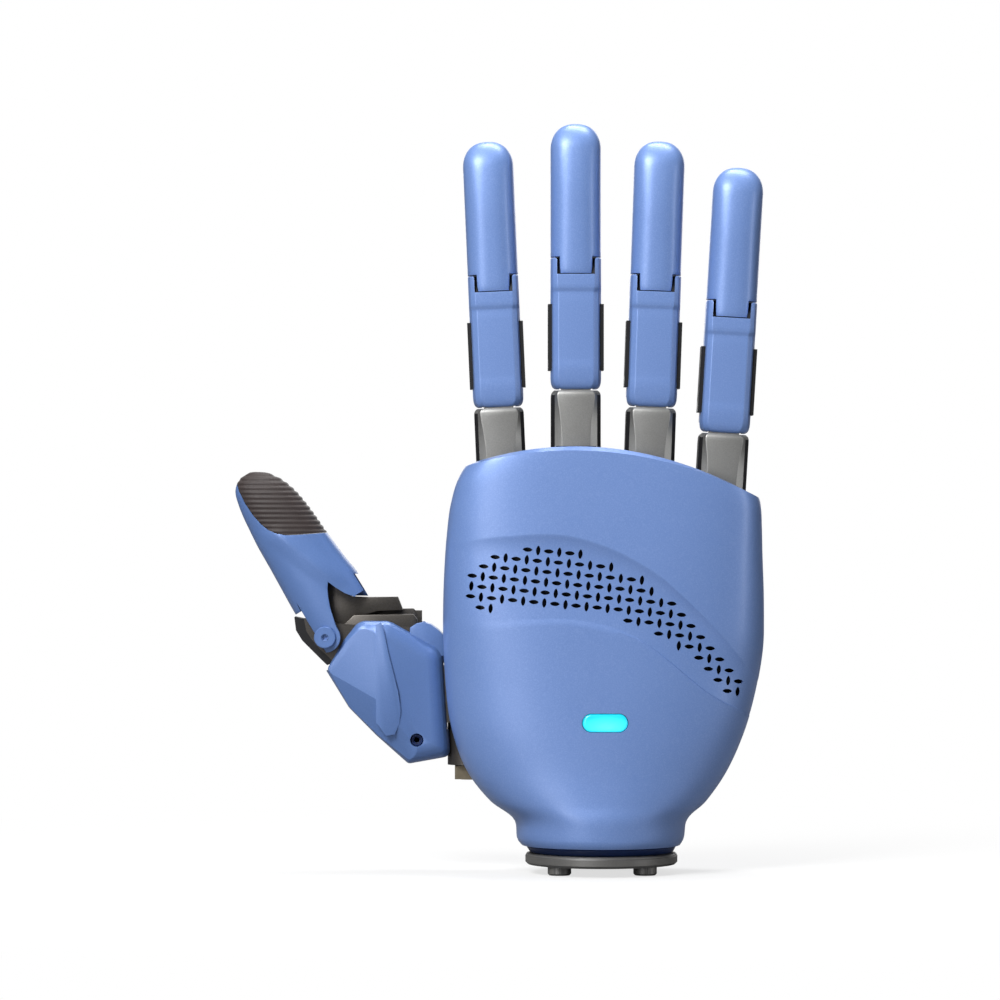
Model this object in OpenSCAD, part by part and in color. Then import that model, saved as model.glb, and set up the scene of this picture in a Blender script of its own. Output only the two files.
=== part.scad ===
// Dexterous robot hand, right hand, back of the hand towards -Y.
// Millimetres, +Z to the fingertips, origin at the centre of the wrist flange's underside.

/* [View] */
// Which node to draw

/* [Wrist] */
// Wrist flange radius
flange_r = 22.8; // [20:0.1:26]
// Wrist flange thickness
flange_t = 3.4; // [2:0.1:6]
// Pitch circle of the studs
stud_pcd = 36; // [30:0.5:39]
// Stud radius
stud_r = 3.5; // [2:0.1:4]
// Stud length below the flange
stud_l = 2.5; // [1:0.1:8]
// Central cable bore radius
bore_r = 8; // [5:0.1:11]
// Collar radius between flange and housing
collar_r = 20.6; // [19:0.1:21]

/* [Housing] */
// Height of the housing's bottom edge
house_z = 4.4; // [4:0.1:6]
// Housing wall
wall = 2; // [1.4:0.1:3]
// Depth of the back cover in front of the split
back_d = 19.5; // [16:0.1:23]
// Depth of the palm cover behind the split
palm_d = 19; // [16:0.1:22]
// Bevel along the housing's top edge
top_bevel = 1.5; // [0.5:0.1:3]
// Depth of the recessed vent band
band_depth = 0.8; // [0.4:0.1:1.2]
// Vent slot length
slot_l = 2.5; // [1.5:0.1:2.6]
// Vent slot width
slot_w = 0.9; // [0.5:0.1:1.2]
// Pitch between vent slots
slot_p = 3.2; // [3:0.1:4]
// Light window width
light_w = 13.5; // [10:0.1:16]
// Light window height
light_h = 5.4; // [4:0.1:7]

/* [Fingers] */
// Finger width
fing_w = 15.1; // [14:0.1:16]
// Finger depth from back to pad
fing_d = 14.8; // [14:0.1:16]
// Length of the inner link cover
link_l = 39.3; // [36:0.1:44]
// Length of the fingertip beyond the joint gap
tip_l = 40; // [34:0.1:46]
// Joint gap
gap = 0.4; // [0.3:0.05:0.8]
// Base pin above the link's lower end
base_z = 7.5; // [7.2:0.1:8.5]
// Tip pin below the joint gap
tip_drop = 6.5; // [6.5:0.1:7]
// Base pin radius
base_pin_r = 1.7; // [1:0.1:1.8]
// Tip pin radius
tip_pin_r = 1.5; // [1:0.1:2.5]
// Running clearance of a pin in its hole
run = 0.05; // [0.02:0.01:0.1]
// Tab width at the tip joint
tab_w = 10.8; // [9:0.1:11]
// Tab length below the gap
tab_l = 5; // [3:0.1:6]
// Side plate stand-out
plate_out = 0.8; // [0.3:0.1:1.5]
// Knuckle tongue width
tongue_w = 8.8; // [6:0.1:9]
// Fingertip hinge barrel width
core_w = 9.2; // [8:0.1:9.4]
// Pad rib height
rib_h = 0.3; // [0.1:0.05:0.5]

/* [Thumb] */
// Thumb shaft position across the palm
shaft_x = -40; // [-42:0.1:-39]
// Thumb middle plane depth
thumb_y = 9.2; // [8.8:0.1:10]
// Thumb thickness
thumb_t = 16; // [14:0.1:16.5]
// Thumb shaft radius
shaft_r = 2.5; // [1.5:0.1:3]
// Thumb pivot screw radius
pivot_r = 1.8; // [1:0.1:2.5]
// Thumb tip length beyond the pivot
thumb_l = 54; // [48:0.5:60]
// Thumb tip lean outward
thumb_lean = 31; // [25:1:35]

/* [Hidden] */
$fn = 32;
e = 0.01;
blue = [0.44, 0.55, 0.78];
dark = [0.12, 0.12, 0.13];
grey = [0.62, 0.62, 0.61];
steel = [0.36, 0.36, 0.35];
rubber = [0.2, 0.17, 0.17];
tip_z = link_l - tip_drop;
ear_r = tip_drop - 0.1;
barrel_r = 6.2;
clear = 0.35;
hw = fing_w / 2;
hd = fing_d / 2;
// name, x of the link's lower end, z of it, lean to the right in degrees
FINGERS = [
    ["index", -30.8, 136.8, -2.5],
    ["middle", -7.7, 142.1, 0],
    ["ring", 14.9, 136.9, 2],
    ["little", 36.7, 129.1, 3.4]
];
PARTS = ["knuckle", "base_pin", "link_frame", "link_cover",
    "tip_pin", "tip_core", "tip_shell", "tip_pad"];

// ---- general forms ----

// one turn of a rounded section; f and b are the depths to the front and back
function ring(cx, z, hx, f, b, n, m) = [for (i = [0 : m - 1])
    let (a = 360 * i / m, c = cos(a), s = sin(a))
    [cx + hx * sign(c) * pow(abs(c), 2 / n),
        (s > 0 ? b : f) * sign(s) * pow(abs(s), 2 / n), z]];

// a closed solid through rings of m points each
module loft(rings) {
    m = len(rings[0]);
    k = len(rings);
    pts = [for (r = rings) each r];
    sides = [for (j = [0 : k - 2]) for (i = [0 : m - 1])
        let (a = j * m + i, b = j * m + (i + 1) % m)
        each [[a, a + m, b + m], [a, b + m, b]]];
    ends = [[for (i = [0 : m - 1]) i], [for (i = [0 : m - 1]) k * m - 1 - i]];
    polyhedron(points = pts, faces = concat(sides, ends), convexity = 8);
}

module block(x0, x1, y0, y1, z0, z1) {
    translate([x0, y0, z0])
        cube([x1 - x0, y1 - y0, z1 - z0]);
}

// cylinder along X, from x0 to x1 at y, z
module rod_x(x0, x1, y, z, r) {
    translate([x0, y, z])
        rotate([0, 90, 0])
            cylinder(h = x1 - x0, r = r);
}

// cylinder along Y, from y0 to y1 at x, z
module rod_y(y0, y1, x, z, r) {
    translate([x, y1, z])
        rotate([90, 0, 0])
            cylinder(h = y1 - y0, r = r);
}

// a flat outline in X and Z given thickness along Y
module slab(y0, y1) {
    translate([0, y1, 0])
        rotate([90, 0, 0])
            linear_extrude(y1 - y0)
                children();
}

// an outline in Y and Z given thickness along X
module profile(x0, x1) {
    translate([x0, 0, 0])
        rotate([90, 0, 90])
            linear_extrude(x1 - x0)
                children();
}

// ---- one finger, z = 0 at the link's lower end, back towards -Y ----

module finger_at(i) {
    f = FINGERS[i];
    translate([f[1], 0, f[2]])
        rotate([0, f[3], 0])
            children();
}

knuckle_l = 24;
knuckle_d = fing_d / 2 - 0.3;
knuckle_top = -gap - 0.1;

module knuckle() {
    bev = 2.2;
    w = fing_w / 2 - 0.1;
    difference() {
        union() {
            loft([
                ring(0, -knuckle_l, w, knuckle_d, knuckle_d, 8, 24),
                ring(0, knuckle_top - bev, w, knuckle_d, knuckle_d, 8, 24),
                ring(0, knuckle_top, w - 1.2, knuckle_d - bev, knuckle_d - bev, 8, 24)
            ]);
            block(-tongue_w / 2, tongue_w / 2, -knuckle_d + 2.2, knuckle_d - 2.2,
                -knuckle_l + 4, base_z - 1);
            rod_x(-tongue_w / 2, tongue_w / 2, 0, base_z, barrel_r);
        }
        rod_x(-fing_w, fing_w, 0, base_z, base_pin_r + run);
        // bevelled cheeks beside the front panel
        for (s = [-1, 1])
            translate([s * (w + 0.2), -knuckle_d, -knuckle_l - 1])
                rotate([0, 0, 45])
                    block(-bev / 1.4, bev / 1.4, -bev / 1.4, bev / 1.4, 0, knuckle_l + 8);
    }
}

plate_lo = 5.7;
plate_hi = 25.5;
plate_y = 5;
cav_x = hw - 0.8;
cav_f = hd - 1.2;
lip_f = hd - 2.05;
lip_z = 3.3;
frame_back = 6.5;

// the seat between a link's frame and its cover, seen along the finger
module seat_area() {
    polygon([[-cav_x, hd + 2], [-cav_x, -cav_f + 2.2], [-cav_x + 1.95, -cav_f],
        [cav_x - 1.95, -cav_f], [cav_x, -cav_f + 2.2], [cav_x, hd + 2]]);
}

module base_pin() {
    end = hw + plate_out;
    rod_x(-end, end, 0, base_z, base_pin_r);
}

module tip_pin() {
    rod_x(-cav_x, cav_x, 0, tip_z, tip_pin_r);
}

module link_frame() {
    difference() {
        union() {
            intersection() {
                linear_extrude(link_l)
                    seat_area();
                profile(-cav_x, cav_x)
                    union() {
                        polygon([[-lip_f, 2], [-lip_f, lip_z], [-cav_f, lip_z], [-cav_f, tip_z],
                            [3, tip_z], [frame_back, tip_z - 3], [frame_back, base_z],
                            [0, base_z], [-2, 2]]);
                        translate([0, base_z])
                            circle(r = frame_back - 0.2, $fn = 32);
                        translate([0, tip_z])
                            circle(r = ear_r, $fn = 32);
                        translate([-cav_f, tip_z - 1])
                            square([cav_f, ear_r]);
                    }
            }
            // side plates
            for (s = [-1, 1])
                block(min(s * (cav_x - 1), s * (hw + plate_out)),
                    max(s * (cav_x - 1), s * (hw + plate_out)),
                    -plate_y, plate_y, plate_lo, plate_hi);
        }
        // room for the knuckle tongue
        x = tongue_w / 2 + clear;
        rod_x(-x, x, 0, base_z, barrel_r + clear);
        block(-x, x, -barrel_r - clear, hd + 2, -9, base_z);
        block(-x, x, 0, hd + 2, -9, base_z + barrel_r + clear);
        // room for the fingertip's tongue
        t = tab_w / 2 + clear;
        rod_x(-t, t, 0, tip_z, barrel_r + clear - 0.1);
        block(-t, t, -hd - 2, hd + 2, tip_z, link_l + 2);
        block(-t, t, 0, hd + 2, tip_z - barrel_r - clear, link_l + 2);
        block(-t, t, -hd - 2, 0, tip_z - 0.2, link_l + 2);
        // hinge holes
        rod_x(-fing_w, fing_w, 0, base_z, base_pin_r);
        rod_x(-fing_w, fing_w, 0, tip_z, tip_pin_r);
    }
}

module link_body(g) {
    step = link_l - 10;
    loft([
        ring(0, 0, hw - 1.3 - g, hd - 1.6 - g, hd - g, 3.4, 28),
        ring(0, 0.8, hw - 0.5 - g, hd - 0.7 - g, hd - g, 3.4, 28),
        ring(0, 2.4, hw - g, hd - g - 0.1, hd - g, 3.4, 28),
        ring(0, step, hw - g, hd - g - 0.1, hd - g, 3.4, 28),
        ring(0, step + 0.7, hw - g, hd - g + 0.3, hd - g, 3.4, 28),
        ring(0, link_l - gap, hw - g, hd - g + 0.1, hd - g, 3.4, 28)
    ]);
}

module link_cover() {
    difference() {
        link_body(0);
        // seat for the frame, open to the palm side
        translate([0, 0, lip_z])
            linear_extrude(link_l)
                seat_area();
        block(-cav_x, cav_x, -lip_f, hd + 2, -1, lip_z + e);
        // no skin beside the pads
        block(-hw - 1, hw + 1, 3.4, hd + 2, -1, link_l + 1);
        // windows for the side plates
        block(-hw - 1, hw + 1, -plate_y, plate_y, plate_lo, plate_hi);
        // rounded ears at both hinges
        profile(-hw - 1, hw + 1)
            difference() {
                translate([0, tip_z])
                    square([hd + 2, link_l]);
                translate([0, tip_z])
                    circle(r = ear_r, $fn = 32);
            }
        profile(-hw - 1, hw + 1)
            difference() {
                translate([0, -2])
                    square([hd + 2, base_z + 2]);
                translate([0, base_z])
                    circle(r = base_z - 0.2, $fn = 32);
            }
        // cut-out for the fingertip's tab
        t = tab_w / 2 + clear;
        block(-t, t, -hd - 2, 0, link_l - tab_l, link_l + 2);
    }
}

// outline of the fingertip's rubber pad, seen from the side
module pad_side(off) {
    z0 = link_l + gap;
    polygon(concat(
        [[hd + 3, z0 + 9 + off], [hd - 1, z0 + 9 + off]],
        [for (i = [0 : 6]) let (a = i * 15)
            [hd - 1 - (hd - 3 - off) * sin(a), z0 + 9 + off + 11 * (1 - cos(a))]],
        [[1 + off, z0 + tip_l - 4], [-1 + off, z0 + tip_l + 2], [hd + 3, z0 + tip_l + 2]]
    ));
}

module tip_body(g) {
    z0 = link_l + gap;
    dome = hw;
    zc = z0 + tip_l - dome;
    loft(concat(
        [ring(0, z0, hw - 0.1 - g, hd - g, hd - 0.8 - g, 2.7, 24)],
        [ring(0, z0 + 8, hw - 0.1 - g, hd - g, hd - g, 2.6, 24)],
        [for (a = [0, 18, 34, 49, 62, 74, 84])
            ring(0, zc + (dome - g) * sin(a), (hw - g) * cos(a), (hd - g) * cos(a),
                (hd - g) * cos(a), 2.3, 24)]
    ));
}

core_x = 5;
core_f = 4.6;
core_b = 1.5;
core_l = 20;

module tip_shell() {
    z0 = link_l + gap;
    difference() {
        union() {
            tip_body(0);
            block(-tab_w / 2, tab_w / 2, -hd + 0.1, -barrel_r - 0.3, z0 - tab_l, z0 + 2);
        }
        profile(-fing_w, fing_w)
            pad_side(0);
        block(-core_x, core_x, -core_f, core_b, z0 - 1, z0 + core_l);
    }
}

module tip_pad() {
    z0 = link_l + gap;
    ribs = 16;
    zs = z0 + 8;
    span = tip_l - hw - 8;
    zc = z0 + tip_l - hw;
    intersection() {
        loft(concat(
            [for (i = [0 : ribs])
                let (h = i % 2 == 0 ? rib_h : 0)
                ring(0, zs + span * i / (ribs + 1), hw - 0.35 + h, hd - 0.2, hd + h, 2.6, 16)],
            [for (a = [0, 18, 36, 54, 70, 84])
                let (h = a % 36 < 10 ? rib_h : 0)
                ring(0, zc + (hw - 0.3) * sin(a), (hw - 0.3 + h) * cos(a), (hd - 0.2) * cos(a),
                    (hd + h) * cos(a), 2.3, 16)]
        ));
        profile(-fing_w, fing_w)
            pad_side(0);
    }
}

module tip_core() {
    z0 = link_l + gap;
    t = core_w / 2;
    r = barrel_r - clear;
    difference() {
        union() {
            block(-core_x, core_x, -core_f, core_b, tip_z, z0 + core_l);
            rod_x(-t, t, 0, tip_z, r);
            profile(-t, t)
                polygon([[-r, tip_z], [r, tip_z], [hd - 3, z0], [-r, z0]]);
        }
        rod_x(-fing_w, fing_w, 0, tip_z, tip_pin_r + run);
    }
}

module finger_part(p) {
    if (p == "knuckle") color(grey) knuckle();
    if (p == "base_pin") color(steel) base_pin();
    if (p == "link_frame") color(dark) link_frame();
    if (p == "link_cover") color(blue) link_cover();
    if (p == "tip_pin") color(steel) tip_pin();
    if (p == "tip_core") color(grey) tip_core();
    if (p == "tip_shell") color(blue) tip_shell();
    if (p == "tip_pad") color(rubber) tip_pad();
}

// ---- housing ----

// left x, left z, right x, right z, rise in the middle, back depth share, palm depth share, roundness
STATIONS = [
    [-22.6, house_z, 22.6, house_z, 0, 1.10, 1.13, 2.05],
    [-25.2, 7.4, 24.6, 7.4, 0, 1.20, 1.23, 2.05],
    [-25.8, 12.5, 25.4, 12.5, 0, 1.20, 1.23, 2.1],
    [-33.3, 18.8, 31.4, 18.8, 0, 1.14, 1.16, 2.2],
    [-40.1, 27.4, 37.4, 27.4, 0, 1.08, 1.11, 2.4],
    [-44.6, 39.2, 42.7, 39.2, 0, 1.04, 1.08, 2.6],
    [-47.0, 57.3, 47.4, 57.3, 0, 1, 1.04, 2.9],
    [-47.5, 72, 48.7, 70, 0.5, 0.98, 1, 3.1],
    [-47.2, 86, 48.6, 82, 1.5, 0.95, 0.92, 3.3],
    [-46.4, 98, 48.2, 93, 3.6, 0.9, 0.84, 3.5],
    [-45.1, 108, 48, 101, 6, 0.84, 0.78, 3.8],
    [-42.9, 115.3, 47.7, 106.8, 8, 0.78, 0.75, 4],
    [-40.8, 118.9, 47.2, 109.4, 8.7, 0.75, 0.74, 4],
    [-39.5, 120.3, 46.7, 110.4, 8.9, 0.75, 0.74, 4]
];
KTOP = len(STATIONS) - 1;
COLS = 22;

// one row of the housing's wall, from the left edge to the right edge; s is -1 for the back, 1 for the palm
function wall_row(k, s, g) =
    let (q = STATIONS[k], xl = q[0] + g, xr = q[2] - g,
        bev = k == KTOP && g < wall ? top_bevel : 0,
        d = (s < 0 ? back_d * q[5] : palm_d * q[6]) - g - bev,
        n = q[7])
    [for (i = [0 : COLS])
        let (a = 180 * i / COLS, c = -cos(a), u = sign(c) * pow(abs(c), 2 / n),
            v = pow(sin(a), 2 / n), t = (u + 1) / 2)
        [xl + (xr - xl) * t, s * (i == 0 || i == COLS ? 0 : d * v),
            q[1] + (q[3] - q[1]) * t + q[4] * (1 - u * u)]];

// half of the housing between two offsets of its outside
module half_shell(s, g0, g1) {
    rows = [for (k = [0 : KTOP]) wall_row(k, s, g0)];
    inner = [for (k = [0 : KTOP]) wall_row(k, s, g1)];
    m = COLS + 1;
    n = (KTOP + 1) * m;
    grid = [for (k = [0 : KTOP - 1]) for (i = [0 : COLS - 1])
        let (a = k * m + i)
        each [[a, a + m, a + m + 1], [a, a + m + 1, a + 1]]];
    back = [for (f = grid) [f[0] + n, f[2] + n, f[1] + n]];
    left = [for (k = [0 : KTOP - 1]) let (a = k * m, b = a + m)
        each [[a, a + n, b + n], [a, b + n, b]]];
    right = [for (k = [0 : KTOP - 1]) let (a = k * m + COLS, b = a + m)
        each [[a, b + n, a + n], [a, b, b + n]]];
    low = [for (i = [0 : COLS - 1])
        each [[i, i + 1, i + 1 + n], [i, i + 1 + n, i + n]]];
    high = [for (i = [0 : COLS - 1]) let (a = KTOP * m + i)
        each [[a, a + 1 + n, a + 1], [a, a + n, a + 1 + n]]];
    faces = concat(grid, back, left, right, low, high);
    polyhedron(
        points = concat([for (r = rows) each r], [for (r = inner) each r]),
        faces = s < 0 ? [for (f = faces) [f[2], f[1], f[0]]] : faces,
        convexity = 8);
}

// the housing's back or palm skin at x and z, as a distance from the split
function row_z(k, u) = let (q = STATIONS[k], t = (u + 1) / 2)
    q[1] + (q[3] - q[1]) * t + q[4] * (1 - u * u);
function station(j) = [for (k = [0 : KTOP]) [k, STATIONS[k][j]]];
function cross_at(u, z) = lookup(z, [for (k = [0 : KTOP]) [row_z(k, u), k]]);
function across(x, k, g = 0) = let (a = lookup(k, station(0)) + g, b = lookup(k, station(2)) - g)
    max(-1, min(1, 2 * (x - a) / (b - a) - 1));
function skin_y(x, z, s, g = 0) =
    let (u0 = across(x, cross_at(x / 48, z), g), k = cross_at(u0, z), u = across(x, k, g),
        d = (s < 0 ? back_d * lookup(k, station(5)) : palm_d * lookup(k, station(6))) - g,
        n = lookup(k, station(7)))
    d * pow(1 - pow(abs(u), n), 1 / n);

// the vent band: x, upper edge, lower edge, share of the depth left at the lower edge
BAND = [
    [-42, 96.4, 73.4, 1], [-34, 97.8, 72, -0.2], [-27, 98.3, 72.5, -0.2],
    [-19, 98.8, 73.4, -0.2], [-12, 98.6, 73.5, -0.15], [-6, 97.5, 72.9, 0.12],
    [1, 95.2, 71.5, 0.2], [6.8, 92.7, 69.6, 0.3], [12, 89.8, 67.2, 0.4],
    [16.7, 86.7, 63.9, 0.5], [23, 81.2, 58.8, 0.6], [29.5, 75, 53.4, 0.7],
    [35, 69.2, 49.8, 0.7], [38.5, 65.2, 48, 0.7], [41, 62.3, 46.9, 0.7], [43.4, 59.4, 45.9, 1]
];
band_start = -40.4;
band_end = 41.9;
function band_cover(x) = band_depth * min(1, (band_end - x) * 1.2, (x - band_start) / 3);
module band_cut() {
    rows = 4;
    loft([for (b = BAND) concat(
        [for (j = [0 : rows]) let (t = j / rows, z = b[1] + (b[2] - b[1]) * t)
            [b[0], -skin_y(b[0], z, -1) - 3, z]],
        [for (j = [rows : -1 : 0]) let (t = j / rows, z = b[1] + (b[2] - b[1]) * t)
            [b[0], -skin_y(b[0], z, -1) + band_cover(b[0]) * (1 - t * (1 - b[3])), z]]
    )]);
}

// rows of the vent grid: height of the row at x = 0, first and last column
VENT_ROWS = [
    [0, 0, 5], [1, -3, 8], [2, -4, 11], [3, -5, 12], [4, -5, 14], [5, -5, 15],
    [6, -5, 16], [7, 9, 17], [8, 12, 18], [9, 14, 18], [10, 16, 19], [11, 17, 19]
];
VENT_TURN = 5;
module vents() {
    for (r = VENT_ROWS)
        for (c = [r[1] : r[2]])
            translate([-20.5, 0, 96.5])
                rotate([0, VENT_TURN, 0])
                    translate([c * slot_p, 0, -(r[0] + 0.3) * slot_p])
                        rotate([0, (r[0] + c) % 2 == 0 ? 0 : 90, 0])
                            slab(-back_d * 1.3, -back_d * 0.5)
                                vent_slot();
}

module vent_slot() {
    a = slot_l / 2;
    b = slot_w / 2;
    polygon([[-a, 0], [-a + b, -b], [a - b, -b], [a, 0], [a - b, b], [-a + b, b]]);
}

light_x = 1.2;
light_z = 41.8;
module light_area(g) {
    r = 1.2;
    w = light_w / 2 - r + g;
    h = light_h / 2 - r + g;
    hull() {
        for (x = [-w, w])
            for (z = [-h, h])
                translate([light_x + x, light_z + z])
                    circle(r = r, $fn = 12);
    }
}

screw_spots = [[-22, 24], [31, 36], [41, 84], [-38.5, 96]];
screw_r = 1.6;

module dorsal_cover() {
    difference() {
        half_shell(-1, 0, wall);
        band_cut();
        vents();
        slab(-back_d * 1.3, -back_d * 0.5)
            light_area(0);
    }
}

bay_x = -29;
// room for the thumb, open to the side and to the palm
cut_x = bay_x;
cut_lo = 24.5;
cut_hi = 78.5;
module palmar_cover() {
    difference() {
        half_shell(1, 0, wall);
        block(-60, cut_x, -1, 40, cut_lo, cut_hi);
        // screw holes
        for (p = screw_spots)
            rod_y(2, 30, p[0], p[1], screw_r);
    }
}

module palm_pad() {
    intersection() {
        half_shell(1, -1.2, 0);
        slab(2, 40)
            polygon([[-22, 96], [38, 92], [38, 78], [8, 72], [-8, 50], [-26, 46], [-26, 82]]);
    }
}

// ---- inside of the palm ----

bracket_t = 4;
post_r = 3.2;
frame_t = 3;
seat_top = 17;
lid_row = KTOP - 1;
// depth of a screw post, clear of the cover all round
function post_end(p) = min([for (x = [-post_r, post_r]) for (z = [-post_r, post_r])
    skin_y(p[0] + x, p[1] + z, 1, wall)]) - 0.4;

// plate that closes the housing's top around the knuckles
module top_plate(g) {
    m = COLS + 1;
    rows = [for (k = [lid_row, lid_row - 1]) each concat(wall_row(k, -1, g), wall_row(k, 1, g))];
    caps = [for (i = [0 : COLS - 1])
        [i, i + m, i + m + 1, i + 1]];
    walls = [for (i = [0 : COLS - 1]) let (d = 2 * m)
        each [[i, i + 1, i + 1 + d, i + d], [i + m + 1, i + m, i + m + d, i + m + 1 + d]]];
    polyhedron(
        points = rows,
        faces = concat(caps, [for (c = caps) [c[3] + 2 * m, c[2] + 2 * m, c[1] + 2 * m, c[0] + 2 * m]],
            walls),
        convexity = 6);
}
ring_h = 6;
ring_r = 19.4;
socket_t = 1.2;
module palm_frame() {
    difference() {
        union() {
            // spine between the covers
            slab(0, frame_t)
                polygon([[-18, house_z + 3], [18, house_z + 3], [28, 22], [38, 36], [42, 60], [43.5, 94],
                    [42, 102], [24, 112], [-3, 118.5], [-30, 114.5], [-38, 110], [-40, 80],
                    [-28, 79], [-28, 23]]);
            // seats that carry the knuckles
            for (i = [0 : 3])
                finger_at(i)
                    block(-6, 6, -knuckle_d - socket_t, knuckle_d + socket_t,
                        -knuckle_l - 4, -seat_top);
            // wrist ring
            translate([0, 0, house_z])
                cylinder(h = ring_h, r = ring_r, $fn = 48);
            // wall of the thumb's bay and brackets of its shaft
            block(bay_x, bay_x + 1.6, 0, thumb_y + 4, cut_lo + 0.4, cut_hi - 0.4);
            for (z = [cut_lo + 0.4, cut_hi - 0.4 - bracket_t])
                block(shaft_x - 4, bay_x + 1.6, thumb_y - 4, thumb_y + 4, z, z + bracket_t);
            // posts of the cover screws
            for (p = screw_spots)
                rod_y(1, post_end(p), p[0], p[1], post_r);
            top_plate(wall + 0.15);
        }
        for (i = [0 : 3])
            finger_at(i)
                block(-fing_w / 2, fing_w / 2, -knuckle_d, knuckle_d, -knuckle_l, 40);
        translate([0, 0, house_z - 1])
            cylinder(h = ring_h + 2, r = bore_r, $fn = 48);
        translate([shaft_x, thumb_y, 20])
            cylinder(h = 70, r = shaft_r);
        for (p = screw_spots)
            rod_y(3, 20, p[0], p[1], screw_r - 0.4);
        // seats of the drives
        for (i = [0 : 3])
            finger_at(i)
                translate([0, 0, -knuckle_l - drive_l])
                    cylinder(h = drive_l + 8, r = drive_r);
    }
}

drive_r = 5;
drive_l = 34;
thumb_drive_x = -20;
module finger_drives() {
    for (i = [0 : 3])
        finger_at(i)
            translate([0, 0, -knuckle_l - drive_l])
                cylinder(h = drive_l, r = drive_r);
}

module thumb_drive() {
    translate([thumb_drive_x, frame_t + drive_r, 31])
        cylinder(h = 38, r = drive_r);
}

module wrist_flange() {
    difference() {
        cylinder(h = flange_t, r = flange_r, $fn = 64);
        translate([0, 0, -1])
            cylinder(h = flange_t + 2, r = bore_r, $fn = 48);
    }
}

module wrist_collar() {
    translate([0, 0, flange_t])
        difference() {
            cylinder(h = house_z - flange_t, r = collar_r, $fn = 64);
            translate([0, 0, -1])
                cylinder(h = 4, r = bore_r, $fn = 48);
        }
}

module mounting_studs() {
    for (a = [45 : 90 : 315])
        rotate([0, 0, a])
            translate([stud_pcd / 2, 0, -stud_l])
                cylinder(h = stud_l, r = stud_r);
}

module wrist_connector() {
    difference() {
        translate([0, 0, house_z + 1.5])
            cylinder(h = ring_h - 1.5, r = bore_r, $fn = 48);
        block(-4.5, 4.5, -2.5, 2.5, 0, house_z + ring_h - 1.5);
    }
}

module light_window() {
    s = 0.8;
    intersection() {
        half_shell(-1, 0.3, wall + s);
        slab(-back_d * 1.3, -2)
            light_area(-0.02);
    }
}

module light_board() {
    y = -back_d + wall + 2;
    slab(y, y + 1.2)
        translate([light_x, light_z])
            square([light_w + 6, light_h + 6], center = true);
    slab(y + 1.2, 0)
        translate([light_x, light_z])
            square([4, 4], center = true);
}

board_y = 11;
module control_board() {
    slab(board_y, board_y + 1.6)
        polygon([[-8, 24], [20, 24], [28, 34], [28, 66], [-8, 66]]);
    for (z = [30, 60])
        rod_y(frame_t, board_y, 10, z, 3);
}

module cover_screws() {
    for (p = screw_spots)
        rod_y(drive_r + 0.6, skin_y(p[0], p[1], 1) - 0.4, p[0], p[1], screw_r - 0.4);
}

// ---- thumb, held out to the left ----

piv = [-83, 67.7];
ty0 = thumb_y - thumb_t / 2;
ty1 = thumb_y + thumb_t / 2;
META = [[-78, 67], [-73.1, 73.2], [-63.5, 73.2], [-48.5, 64.9], [-45.2, 33.3],
    [-58, 29.5], [-67.7, 38.1], [-75.9, 46.4], [-83.1, 58.1]];
meta_mid = [-63, 52];
cheek_in = 3.2;
cheek_out = 5;
hub_r = 5.6;

// the base's outline drawn in towards its middle
function meta_in(f) = [for (p = META) meta_mid + (p - meta_mid) * f];

module meta_cover(s) {
    // s = -1 front, 1 back; the split is in the thumb's middle plane
    translate([0, thumb_y, 0])
        scale([1, -s, 1])
            difference() {
                union() {
                    hull() {
                        slab(-thumb_t / 2 + 2.2, 0)
                            polygon(META);
                        slab(-thumb_t / 2, -thumb_t / 2 + 1)
                            polygon(meta_in(0.86));
                    }
                }
                // room for the frame's cheeks and the crank
                slab(-cheek_out - 0.02, 1)
                    polygon([[-90, 62], [-80, 56], [-72, 48.5], [-64, 41], [-57.5, 35.5],
                        [-51.5, 36.5], [-52.6, 90], [-90, 90]]);
                slab(-cheek_out - 0.02, 1)
                    polygon([[-60, 40], [-40, 40], [-40, 60], [-60, 60]]);
                // room for the column on the shaft
                translate([shaft_x, 0, 20])
                    cylinder(h = 60, r = col_r + 0.1);
            }
}

module thumb_front_cover() {
    difference() {
        meta_cover(-1);
        rod_y(ty0 - 1, thumb_y, -55.4, 36.9, 1.9);
    }
}

module thumb_back_cover() {
    meta_cover(1);
}

module thumb_screw() {
    rod_y(ty0 + 1, thumb_y - 0.2, -55.4, 36.9, 1.9);
}

col_r = 6.2;
col_lo = cut_lo + 0.4 + bracket_t + 0.3;
col_hi = cut_hi - 0.4 - bracket_t - 0.3;
// outer edge of the cheeks, where the bumper sits
CHEEK_EDGE = [[-89.4, 73.2], [-88.7, 69.6], [-87.2, 67.2], [-84.7, 64.2], [-81.8, 61.6], [-80.4, 60]];
module thumb_frame() {
    yc = thumb_y;
    difference() {
        union() {
            translate([shaft_x, yc, col_lo])
                cylinder(h = col_hi - col_lo, r = col_r);
            // arm from the column into the base
            block(-58, shaft_x, yc - cheek_out, yc + cheek_out, 42, 59);
            // cheeks to the pivot
            for (s = [-1, 1])
                slab(yc + (s < 0 ? -cheek_out : cheek_in), yc + (s < 0 ? -cheek_in : cheek_out))
                    polygon(concat(CHEEK_EDGE,
                        [[-75, 53], [-58, 40.5], [-53, 42], [-53, 68],
                        [-56, 70.8], [-74, 71.5], [-79, 71.8], [-84, 73.4]]));
            // rear lug
            block(-62.3, -54, yc + cheek_in, yc + cheek_out, 68, 75.6);
        }
        rod_y(0, 30, piv[0], piv[1], pivot_r);
        translate([shaft_x, yc, 0])
            cylinder(h = 100, r = shaft_r + run);
    }
}

module thumb_shaft() {
    translate([shaft_x, thumb_y, cut_lo + 0.2])
        cylinder(h = cut_hi - cut_lo - 0.4, r = shaft_r);
}

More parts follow.
